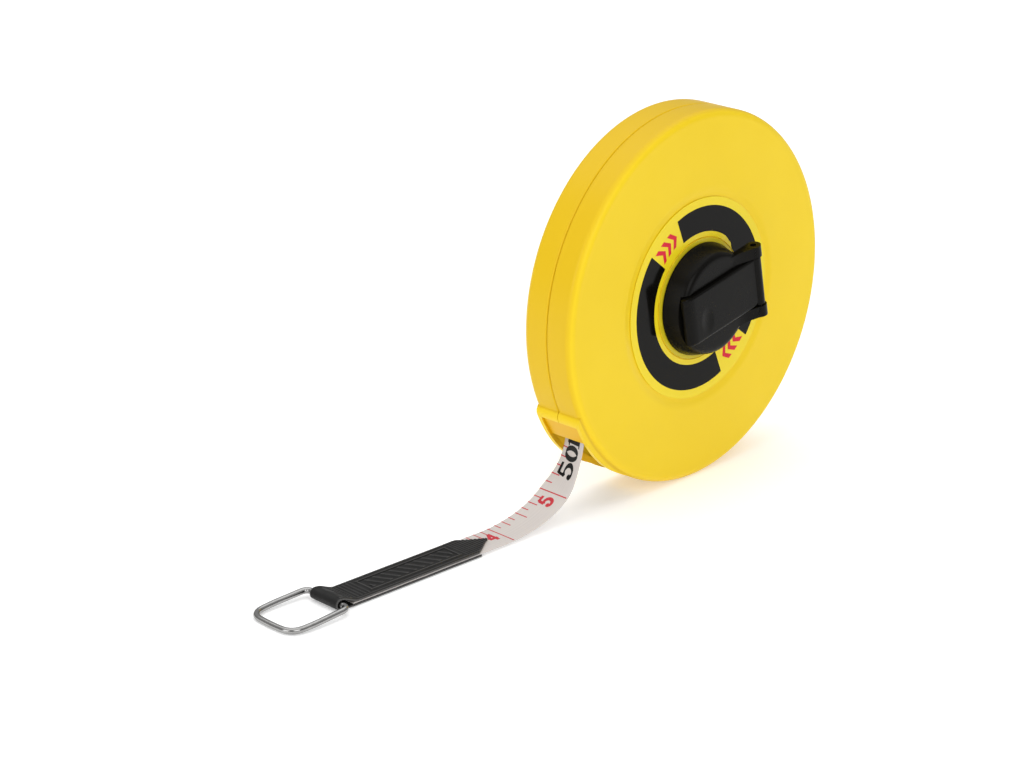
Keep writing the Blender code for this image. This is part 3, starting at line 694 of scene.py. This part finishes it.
# painted shadow and reflection: a black sector on the ring by the lever's hinge, for the ear's shadow and its
# reflection in the glossy face
ear_shadow_arc = sector(17.3 * MM, 20.4 * MM, 38.0, -37.5, 48)
flat_patch("hub_painted_shadow_arc", [ear_shadow_arc], FRONT_Y - 0.02 * MM, -1, LABEL_BLACK, 0.03 * MM)
ring_plate("rear_label_disc", 0.0, LABEL_OUTER, REAR_LABEL_Y, REAR_Y - 0.45 * MM, LABEL_YELLOW, "rear_label")
rear_arcs = [sector(24.0 * MM, ARC_OUTER, start, start + 156.0, 90) for start in (12.0, 192.0)]
flat_patch("rear_label_arcs", rear_arcs, REAR_LABEL_Y, 1, LABEL_BLACK, 0.04 * MM)


# ---------------------------------------------------------------- crank hub
PIN_U = 19.6
PIN_HEIGHT = 8.2
PIN_BORE = 1.1
KNOB_U = -5.5
CHANNEL_HALF = 8.85


def build_hub():
    """Drum with a channel for the lever, ears for its pin and a pocket for the folded knob."""
    profile = [
        (0, 5.6), (12.0, 5.6), (12.0, 2.0), (16.5, 2.0), (16.5, -0.3), (19.1, -0.3), (19.1, -0.9),
        (17.75, -4.9), (17.3, -6.3), (16.9, -6.95), (16.3, -7.45), (15.6, -7.72), (14.6, -7.8), (0, -7.8),
    ]
    hub = make("crank_hub_body", turned([(r * MM, FRONT_Y + h * MM) for r, h in profile], 128), BLACK)
    arm = [(6.0, 5.65), (19.6, 5.65), (19.6, 10.65), (18.4, 10.4), (16.6, 9.6), (13.5, 8.35), (10.5, 7.85)]
    arm += [(6.0, 7.7)]
    for side in (-1, 1):
        ear = crank_rod((PIN_U, side * 8.9, PIN_HEIGHT), (PIN_U, side * 12.8, PIN_HEIGHT), 2.6, 40)
        boolean(hub, ear, 'UNION', "ear")
        boolean(hub, crank_prism(arm, sorted((side * 8.9, side * 12.7))), 'UNION', "arm")
    channel = [(-21, 5.7), (24, 5.7), (24, 12), (-21, 12)]
    cuts = {
        "channel": crank_prism(channel, (-CHANNEL_HALF, CHANNEL_HALF)),
        "pocket": crank_rod((KNOB_U, 0, -1.0), (KNOB_U, 0, 7), 7.6, 64),
        "screw_pocket": rod((0, FRONT_Y - 1 * MM, 0), (0, FRONT_Y + 4.0 * MM, 0), 4.0 * MM, 40),
        "bore": rod((0, FRONT_Y + 1 * MM, 0), (0, FRONT_Y + 8 * MM, 0), 1.9 * MM, 32),
        "pin_bore": crank_rod((PIN_U, -14, PIN_HEIGHT), (PIN_U, 14, PIN_HEIGHT), PIN_BORE, 32),
    }
    for name, bm in cuts.items():
        boolean(hub, bm, 'DIFFERENCE', name)
    soften(hub, 0.35 * MM, 3, 38.0)
    finish_piece(hub, 45.0, "crank", "crank_hub")


build_hub()


# ---------------------------------------------------------------- crank lever
FREE_END = -16.5
LEVER_HALF = 8.5
LEVER_TOP = 9.4
LEVER_UNDER = 6.4


def lever_height(u, v):
    """Height of the lever's top: a rolled free end, eased sides and a shallow finger dimple."""
    drop = 0.0
    edge = u - FREE_END
    if edge < 4.2:
        drop -= 2.0 * (1 - math.sqrt(max(0.0, 1 - (1 - edge / 4.2) ** 2)))
    dimple = ((u + 7.4) / 3.2) ** 2 + ((v + 2.3) / 5.0) ** 2
    if dimple < 1:
        drop -= 0.30 * (1 - dimple) ** 1.5
    side = LEVER_HALF - abs(v)
    if side < 0.7:
        drop -= 0.30 * (1 - side / 0.7) ** 2
    return LEVER_TOP + drop


def slab(bm, tops, bottoms):
    """Close two grids of vertices, one above the other, into a solid."""
    rows = len(tops) - 1
    last = len(tops[0]) - 1
    for i in range(rows):
        for j in range(last):
            bm.faces.new((tops[i][j], tops[i][j + 1], tops[i + 1][j + 1], tops[i + 1][j]))
            bm.faces.new((bottoms[i][j], bottoms[i + 1][j], bottoms[i + 1][j + 1], bottoms[i][j + 1]))
        bm.faces.new((tops[i][0], tops[i + 1][0], bottoms[i + 1][0], bottoms[i][0]))
        bm.faces.new((tops[i][last], bottoms[i][last], bottoms[i + 1][last], tops[i + 1][last]))
    for row in (0, rows):
        for j in range(last):
            bm.faces.new((tops[row][j], bottoms[row][j], bottoms[row][j + 1], tops[row][j + 1]))


def build_lever():
    """Flat arm with a barrel on the pin at one end and a post for the knob's screw."""
    bm = bmesh.new()
    tops = []
    bottoms = []
    for i in range(97):
        u = FREE_END + (PIN_U - FREE_END) * i / 96
        top_row = []
        bottom_row = []
        for j in range(49):
            v = -LEVER_HALF + 2 * LEVER_HALF * j / 48
            tuck = max(0.0, 1.2 - (u - FREE_END)) * max(0.0, abs(v) - 7.3) * 0.25
            place = v - math.copysign(tuck, v)
            top_row.append(bm.verts.new((u * MM, -lever_height(u, v) * MM, place * MM)))
            edge = max(0.0, 0.5 - (LEVER_HALF - abs(v))) * 0.6 + max(0.0, 0.5 - (u - FREE_END)) * 0.6
            bottom_row.append(bm.verts.new((u * MM, -(LEVER_UNDER + edge) * MM, place * MM)))
        tops.append(top_row)
        bottoms.append(bottom_row)
    slab(bm, tops, bottoms)
    lever = make("crank_lever_arm", crank_turn(bm), BLACK)
    barrel = crank_rod((PIN_U, -8.45, PIN_HEIGHT), (PIN_U, 8.45, PIN_HEIGHT), 2.1, 40)
    boolean(lever, barrel, 'UNION', "barrel")
    boolean(lever, crank_rod((KNOB_U, 0, 7.0), (KNOB_U, 0, 1.3), 2.5, 32), 'UNION', "post")
    pin = crank_rod((PIN_U, -12, PIN_HEIGHT), (PIN_U, 12, PIN_HEIGHT), PIN_BORE, 32)
    boolean(lever, pin, 'DIFFERENCE', "pin_bore")
    soften(lever, 0.18 * MM, 2, 50.0)
    finish_piece(lever, 40.0, "lever", "crank_lever")


build_lever()


def build_knob():
    """Grip with fine ribs round its side."""
    centre = crank_point(KNOB_U * MM, 0, 0)
    outline = [
        (2.8, 6.1), (6.2, 6.1), (6.75, 5.9), (7.0, 5.4), (7.0, 0.6), (6.8, 0.0), (6.3, -0.4),
        (5.6, -0.5), (4.5, -0.5), (4.2, -0.3), (4.2, 1.6), (2.8, 1.6),
    ]
    pts = [(r * MM, FRONT_Y - h * MM) for r, h in outline]
    bm = turned(pts, 144, (centre.x, centre.z))
    for vert in bm.verts:
        offset = Vector((vert.co.x - centre.x, vert.co.z - centre.z))
        height = (FRONT_Y - vert.co.y) / MM
        if offset.length > 6.9 * MM and 0.3 < height < 5.7:
            angle = math.atan2(offset.y, offset.x)
            scale = 1 - 0.02 * (0.5 + 0.5 * math.cos(angle * 24))
            vert.co.x = centre.x + offset.x * scale
            vert.co.z = centre.z + offset.y * scale
    knob = make("crank_knob_grip", bm, KNOB_BLACK, "knob", 35.0)
    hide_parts("crank_knob")


build_knob()


# ---------------------------------------------------------------- tape
BAR_X = -155.5 * MM
TAPE_FLOOR = GROUND_Z + 0.95 * MM
TAPE_EXIT = (-48.4 * MM, -34.0 * MM)
LANDING_X = -88.0 * MM
TWIST = math.radians(20.0)
YAW = math.radians(2.3)
YAW_START_X = -46.0 * MM
YAW_RUN = 34.0 * MM
TAPE_END_X = BAR_X + 5.0 * MM


def tape_offset(x):
    """How far the tape has strayed to the rear, once it lies turned by YAW."""
    run = max(YAW_START_X - x, 0.0)
    slope = math.tan(YAW)
    if run < YAW_RUN:
        return slope * run * run / (2 * YAW_RUN)
    return slope * (run - YAW_RUN / 2)


def bezier(points, steps):
    curve = []
    for index in range(steps + 1):
        t = index / steps
        s = 1 - t
        weights = (s * s * s, 3 * s * s * t, 3 * s * t * t, t * t * t)
        curve.append(tuple(sum(w * p[axis] for w, p in zip(weights, points)) for axis in (0, 1)))
    return curve


def tape_points():
    """Dense centre line from the ring end of the tape back to the coil."""
    landing = (LANDING_X, TAPE_FLOOR)
    steep = (TAPE_EXIT[0] - 0.75 * MM, TAPE_EXIT[1] - 9.0 * MM)
    path = []
    for index in range(60):
        path.append((TAPE_END_X + (LANDING_X - TAPE_END_X) * index / 60, TAPE_FLOOR))
    path += bezier([landing, (LANDING_X + 35 * MM, TAPE_FLOOR), steep, TAPE_EXIT], 160)
    inside = Vector((-49.2 * MM, -3.0 * MM))
    for index in range(1, 31):
        path.append(tuple(Vector(TAPE_EXIT).lerp(inside, index / 30)))
    return path


def tape_turn(x, z):
    """Angle of the tape about the vertical: twisted in the mouth, slightly turned on the ground."""
    if z > TAPE_EXIT[1]:
        return TWIST * smooth_step(z, -3.0 * MM, TAPE_EXIT[1])
    return YAW + (TWIST - YAW) * smooth_step(x, -59.5 * MM, -49.5 * MM)


PATH = tape_points()
LENGTHS = [0.0]
for first, second in zip(PATH, PATH[1:]):
    LENGTHS.append(LENGTHS[-1] + math.hypot(second[0] - first[0], second[1] - first[1]))


def along_tape(s):
    """Centre, across and outward directions at a distance from the tape's ring end."""
    s = min(max(s, 0.0), LENGTHS[-1] - 1e-7)
    low, high = 0, len(LENGTHS) - 1
    while high - low > 1:
        middle = (low + high) // 2
        if LENGTHS[middle] <= s:
            low = middle
        else:
            high = middle
    t = (s - LENGTHS[low]) / (LENGTHS[low + 1] - LENGTHS[low])
    x = PATH[low][0] + (PATH[low + 1][0] - PATH[low][0]) * t
    z = PATH[low][1] + (PATH[low + 1][1] - PATH[low][1]) * t
    heading = Vector((PATH[low + 1][0] - PATH[low][0], 0, PATH[low + 1][1] - PATH[low][1])).normalized()
    turn = tape_turn(x, z)
    tilt = 0.12 * max(turn - YAW, 0.0) / (TWIST - YAW)
    across = Vector((math.sin(turn), math.cos(turn), -tilt)).normalized()
    normal = heading.cross(across).normalized()
    if normal.x > 0 or (x < -60 * MM and normal.z < 0):
        normal = -normal
    return Vector((x, SEAM_Y + tape_offset(x), z)), across, normal


def tape_surface(s, t, lift):
    """A point on the printed face: s along, t across towards the rear, lift above it."""
    centre, across, normal = along_tape(s)
    return centre + across * t + normal * lift


def build_blade():
    """The ribbon, a little narrower where the sleeve hides it."""
    steps = 420
    bm = bmesh.new()
    columns = [-6.35, -6.2, -5.2, -3.5, -1.7, 0.0, 1.7, 3.5, 5.2, 6.2, 6.35]
    thick = 0.2 * MM
    tops = []
    bottoms = []
    for index in range(steps + 1):
        s = LENGTHS[-1] * index / steps
        centre, across, normal = along_tape(s)
        row_top = []
        row_bottom = []
        narrow = 1 - 0.03 * smooth_step(-centre.x, 95.0 * MM, 98.0 * MM)
        for column in columns:
            t = column * narrow
            edge = 0.5 if abs(column) > 6.3 else 1.0
            wave = 0.03 * MM * math.sin(s / MM * 0.35) * (t / 6.35) ** 2
            row_top.append(bm.verts.new(centre + across * t * MM + normal * (thick * edge + wave)))
            row_bottom.append(bm.verts.new(centre + across * t * MM - normal * (thick * edge - wave)))
        tops.append(row_top)
        bottoms.append(row_bottom)
    slab(bm, tops, bottoms)
    blade = make("tape_ribbon", bm, TAPE, "case", 50.0)
    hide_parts("tape_blade")


build_blade()

INCH = 25.4 * MM
# the mark for 4 inches lies just past the place where the tape lands
S_FOUR = next(length for point, length in zip(PATH, LENGTHS) if point[0] >= -83.1 * MM)


def print_on_tape(name, polygons, mat):
    """Lay (s, t) polygons, in metres from the ring end and the centre line, on the printed face."""
    bm = bmesh.new()
    for polygon in polygons:
        lower = [bm.verts.new(tape_surface(s, t, 0.205 * MM)) for s, t in polygon]
        upper = [bm.verts.new(tape_surface(s, t, 0.235 * MM)) for s, t in polygon]
        count = len(polygon)
        bm.faces.new(upper)
        bm.faces.new(list(reversed(lower)))
        for index in range(count):
            following = (index + 1) % count
            bm.faces.new((lower[index], lower[following], upper[following], upper[index]))
    return make(name, bm, mat, "case", 30.0)


def build_ticks():
    """Inch lines across the tape, and shorter ticks for the half, quarter and eighth inches."""
    shapes = []
    for eighth in range(-18, 24):
        s = S_FOUR + eighth * INCH / 8
        if not 2 * MM < s < LENGTHS[-1] - 30 * MM:
            continue
        if eighth % 8 == 0:
            length, width = 12.3, 0.42
        elif eighth % 4 == 0:
            length, width = 5.5, 0.38
        elif eighth % 2 == 0:
            length, width = 4.2, 0.38
        else:
            length, width = 3.0, 0.38
        start = 6.3 * MM
        shapes.append([
            (s - width / 2 * MM, start - length * MM), (s + width / 2 * MM, start - length * MM),
            (s + width / 2 * MM, start), (s - width / 2 * MM, start),
        ])
    print_on_tape("tape_ticks", shapes, RED_INK)


build_ticks()


def stroke(path, pen):
    """Quads along a stroke, as wide as pen says for a heading."""
    shapes = []
    left = []
    right = []
    for index, point in enumerate(path):
        before = Vector(path[max(index - 1, 0)])
        after = Vector(path[min(index + 1, len(path) - 1)])
        heading = (after - before).normalized()
        side = Vector((-heading.y, heading.x))
        width = pen(heading)
        left.append(Vector(point) + side * width / 2)
        right.append(Vector(point) - side * width / 2)
    for index in range(len(path) - 1):
        shapes.append([right[index], right[index + 1], left[index + 1], left[index]])
    return shapes


def ellipse(cx, cy, rx, ry, start, end, steps):
    points = []
    for index in range(steps + 1):
        angle = math.radians(start + (end - start) * index / steps)
        points.append((cx + rx * math.cos(angle), cy + ry * math.sin(angle)))
    return points


def digit(symbol, weight, contrast):
    """Strokes of a digit in a box 0.62 wide and 1 high."""
    def pen(heading):
        return weight * (1 - contrast * (1 - abs(heading.y)))

    def even(share):
        return lambda heading: weight * share

    half_thin = 1 - 0.5 * contrast
    shapes = []
    if symbol == "0":
        half_high = 0.5 - weight * (1 - contrast) / 2
        shapes += stroke(ellipse(0.31, 0.5, 0.31 - weight / 2, half_high, 0, 360, 44), pen)
    elif symbol == "5":
        shapes += stroke([(0.10, 0.93), (0.56, 0.93)], even(0.78))
        shapes += stroke([(0.14, 0.93), (0.11, 0.72), (0.085, 0.50)], even(1 - contrast * 0.75))
        shapes += stroke(ellipse(0.27, 0.335, 0.27, 0.265, 138, -150, 36), pen)
        shapes += stroke(ellipse(0.095, 0.19, 0.045, 0.045, 0, 360, 16), even(half_thin))
    elif symbol == "4":
        shapes += stroke([(0.45, 0.0), (0.45, 0.97)], even(half_thin))
        shapes += stroke([(0.45, 0.95), (0.03, 0.31)], even(half_thin))
        shapes += stroke([(0.0, 0.29), (0.62, 0.29)], even(half_thin))
    elif symbol == "1":
        shapes += stroke([(0.11, 0.03), (0.11, 1.0)], even(1.0))
        shapes += stroke([(-0.08, 0.03), (0.30, 0.03)], even(0.38))
        shapes += stroke([(0.09, 0.96), (-0.08, 0.84)], even(0.45))
    return shapes


def write_on_tape(name, text, s_start, t_base, height, mat, weight, contrast, step=0.0, width=1.0):
    """Digits that read along the tape, tops towards the tick edge. A step is a share of their height."""
    polygons = []
    for index, symbol in enumerate(text):
        for shape in digit(symbol, weight, contrast):
            polygons.append([
                (s_start + (index * step + p[0] * width) * height, t_base + p[1] * height) for p in shape
            ])
    return print_on_tape(name, polygons, mat)


write_on_tape("tape_numeral_four", "4", S_FOUR - 5.3 * MM, -2.1 * MM, 5.4 * MM, RED_INK, 0.235, 0.2)
write_on_tape("tape_numeral_five", "5", S_FOUR + INCH - 5.4 * MM, -2.5 * MM, 5.7 * MM, RED_INK, 0.235, 0.2)
write_on_tape(
    "tape_length_number", "501", S_FOUR + INCH * 1.25 - 0.2 * MM, -4.0 * MM, 7.9 * MM, BLACK_INK, 0.20, 0.58,
    0.72, 1.08,
)


# ---------------------------------------------------------------- sleeve
SLEEVE_TIP = 66.3
SLEEVE_UNDER_TIP = 61.0
PLY = 0.62 * MM
LOOP = 1.58 * MM
RISE = 7.5
SINK = 4.0


def sleeve_path(bar):
    """(reach, height, part) of the strap's middle: tip, loop round the ring's bar, and back underneath."""
    top = TAPE_FLOOR + 0.28 * MM + PLY / 2 - bar.z
    under = GROUND_Z + 0.05 * MM + PLY / 2 - bar.z
    path = []
    for index in range(301):
        path.append(((SLEEVE_TIP - (SLEEVE_TIP - RISE) * index / 300) * MM, top, 'top'))
    for index in range(1, 31):
        t = index / 30
        path.append((RISE * MM * (1 - t), top + (LOOP - top) * smooth_step(t, 0, 1), 'top'))
    for index in range(1, 33):
        a, height = polar(LOOP, 90 + 180 * index / 32)
        path.append((a, height, 'loop'))
    for index in range(1, 13):
        t = index / 12
        path.append((SINK * MM * t, -LOOP + (under + LOOP) * smooth_step(t, 0, 1), 'loop'))
    for index in range(1, 61):
        path.append(((SINK + (SLEEVE_UNDER_TIP - SINK) * index / 60) * MM, under, 'under'))
    return path


def strap_width(part, reach):
    """Full half width in mm, and the half width at a reach, which narrows to the tip."""
    half = 6.5 if part == 'under' else 6.35
    tip, point = (SLEEVE_UNDER_TIP, 2.4) if part == 'under' else (SLEEVE_TIP, 9.2)
    if part == 'loop' or reach <= tip - point:
        return half, half
    return half, max(0.45, half * min(1.0, (tip - reach) / point + 0.02))


def build_sleeve():
    """Folded strap with embossed frame and ribs, a loop round the bar and pointed tips."""
    joint = [j for j in frame["joints"] if j["name"] == "ring_swing"][0]
    bar = Vector(joint["pos_m"])
    inward = Vector((math.cos(YAW), -math.sin(YAW), 0))
    across = Vector((math.sin(YAW), math.cos(YAW), 0))
    up = Vector((0, 0, 1))
    path = sleeve_path(bar)
    columns = 64
    outer = []
    inner = []
    bm = bmesh.new()
    for index, (a, h, part) in enumerate(path):
        first = path[max(index - 1, 0)]
        last = path[min(index + 1, len(path) - 1)]
        heading = (inward * (last[0] - first[0]) + up * (last[1] - first[1])).normalized()
        normal = across.cross(heading).normalized()
        half, width = strap_width(part, a / MM)
        centre = bar + inward * a + up * h
        outer_row = []
        inner_row = []
        for column in range(columns + 1):
            t = -1 + 2 * column / columns
            emboss = emboss_height(a / MM, t * width, half) if part == 'top' else 0.0
            edge = 1 - 0.55 * max(0.0, (abs(t) - 0.94) / 0.06) ** 2
            place = centre + across * t * width * MM
            outer_row.append(bm.verts.new(place + normal * (PLY / 2 * edge + emboss * MM)))
            inner_row.append(bm.verts.new(place - normal * PLY / 2 * edge))
        outer.append(outer_row)
        inner.append(inner_row)
    slab(bm, outer, inner)
    sleeve = make("tape_sleeve_strap", bm, SLEEVE, "tape_end", 50.0)
    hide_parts("tape_sleeve")


def ridge(distance, width):
    return 1 - smooth_step(abs(distance), width * 0.45, width)


def emboss_height(reach, v, half):
    """Height in mm of the moulded pattern: a long frame of slanted bars and cross ribs."""
    height = 0.0
    if abs(v) > half - 0.35:
        return height
    height = max(height, 0.20 * ridge(abs(v) - (half - 0.85), 0.45))
    if 14.0 < reach < 52.0:
        frame_side = ridge(abs(v) - 3.75, 0.35)
        frame_end = max(ridge(reach - 14.6, 0.35), ridge(reach - 51.4, 0.35)) if abs(v) < 3.9 else 0.0
        height = max(height, 0.30 * frame_side, 0.30 * frame_end)
        if abs(v) < 3.0 and 16.0 < reach < 50.0:
            phase = (reach + v * 0.55) % 3.4
            height = max(height, 0.34 * ridge(phase - 1.7, 0.75) * (1 - smooth_step(abs(v), 2.6, 3.0)))
    if 3.0 < reach < 13.5:
        phase = reach % 1.5
        height = max(height, 0.20 * ridge(phase - 0.75, 0.5) * (1 - smooth_step(abs(v), 4.7, 5.1)))
    if reach > 52.8:
        phase = reach % 1.1
        height = max(height, 0.15 * ridge(phase - 0.55, 0.4))
    return height


build_sleeve()


# ---------------------------------------------------------------- ring
def build_ring():
    """Bent wire ring, a little wider at its far end, tilted down to the surface."""
    joint = [j for j in frame["joints"] if j["name"] == "ring_swing"][0]
    bar = Vector(joint["pos_m"])
    tilt = math.radians(3.0)
    outward = Vector((-math.cos(YAW) * math.cos(tilt), math.sin(YAW) * math.cos(tilt), -math.sin(tilt)))
    across = Vector((math.sin(YAW), math.cos(YAW), 0))
    half = 9.7
    far = 22.5
    corners = [
        (0.0, -half + 0.1), (0.0, half - 0.1), (14.0, half + 0.3), (far - 0.5, half - 0.3),
        (far + 0.1, 0.0), (far - 0.5, -half + 0.3), (14.0, -half - 0.3),
    ]
    reaches = [2.4, 2.4, 3.2, 4.6, 4.4, 4.6, 3.2]
    outline = round_corners(corners, reaches, 12)
    dense = []
    for index, point in enumerate(outline):
        following = Vector(outline[(index + 1) % len(outline)])
        here = Vector(point)
        steps = max(1, int((following - here).length / 0.8))
        for step in range(steps):
            dense.append(here + (following - here) * step / steps)
    bm = bmesh.new()
    sides = 24
    rings = []
    count = len(dense)
    wire = 1.02
    normal = outward.cross(across).normalized()
    for index in range(count):
        before = dense[index - 1]
        after = dense[(index + 1) % count]
        heading = (after - before).normalized()
        side = Vector((heading.y, -heading.x))
        centre = bar + outward * dense[index].x * MM + across * dense[index].y * MM
        out = outward * side.x + across * side.y
        ring = []
        for k in range(sides):
            angle = 2 * math.pi * k / sides
            ring.append(bm.verts.new(centre + (out * math.cos(angle) + normal * math.sin(angle)) * wire * MM))
        rings.append(ring)
    for index in range(count):
        first = rings[index]
        second = rings[(index + 1) % count]
        for k in range(sides):
            following = (k + 1) % sides
            bm.faces.new((first[k], first[following], second[following], second[k]))
    ring = make("hook_ring_wire", bm, CHROME, "ring", 60.0)
    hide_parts("hook_ring")


build_ring()

# ---------------------------------------------------------------- carried-over nodes
CARRIED = {
    "hub_screw": ZINC, "hub_washer": ZINC, "knob_screw": ZINC, "lever_pin": ZINC, "tape_anchor": ZINC,
    "reel_bush": BRASS, "spool_core": REEL, "spool_front_flange": REEL, "spool_rear_flange": REEL,
    "tape_coil": TAPE,
}
for node, mat in CARRIED.items():
    materials = frame["nodes"][node].data.materials
    materials.clear()
    materials.append(mat)

# ---------------------------------------------------------------- floor and light
floor_bm = bmesh.new()
floor_place = Matrix.Translation((0, 0, GROUND_Z - 0.1 * MM))
bmesh.ops.create_grid(floor_bm, x_segments=1, y_segments=1, size=6.0, matrix=floor_place)
floor_material = Nodes("floor_white")
floor_tones = [(0.3, (0.90, 0.90, 0.90)), (0.7, (0.93, 0.93, 0.93))]
floor_material.link(floor_material.colours(floor_material.noise(3.0, 3.0), floor_tones), "Base Color")
# a light table: its own glow keeps the shadows faint
floor_material.set(Roughness=0.9, Emission_Color=(1.0, 1.0, 1.0, 1.0), Emission_Strength=0.30)
floor = make("studio_floor", floor_bm, floor_material.mat)


def area_light(name, location, target, size, power):
    """A soft box that points at a target."""
    data = bpy.data.lights.new(name, 'AREA')
    data.shape = 'RECTANGLE'
    data.size = size[0]
    data.size_y = size[1]
    data.energy = power
    light = bpy.data.objects.new(name, data)
    scene.collection.objects.link(light)
    light.location = location
    direction = Vector(target) - Vector(location)
    light.rotation_euler = direction.to_track_quat('-Z', 'Y').to_euler()


world = bpy.data.worlds.new("studio")
scene.world = world
world.use_nodes = True
sky = world.node_tree
sky_coords = sky.nodes.new("ShaderNodeTexCoord")
sky_split = sky.nodes.new("ShaderNodeSeparateXYZ")
sky.links.new(sky_coords.outputs["Generated"], sky_split.inputs[0])
sky_ramp = sky.nodes.new("ShaderNodeValToRGB")
for element, (place, level) in zip(sky_ramp.color_ramp.elements, ((0.0, 0.50), (0.62, 1.0))):
    element.position = place
    element.color = (level, level, level, 1.0)
sky.links.new(sky_split.outputs["Z"], sky_ramp.inputs["Fac"])
sky.links.new(sky_ramp.outputs["Color"], sky.nodes["Background"].inputs["Color"])
sky.nodes["Background"].inputs["Strength"].default_value = 0.55
area_light("overhead", (0.1, 0.2, 1.5), (-0.02, 0, -0.06), (2.2, 2.2), 16.0)
area_light("front_key", (-0.8, -1.5, 0.9), (-0.03, 0, -0.01), (1.1, 1.1), 8.2)
area_light("left_fill", (-1.6, 0.1, 0.5), (-0.03, 0, -0.01), (0.9, 1.1), 5.6)
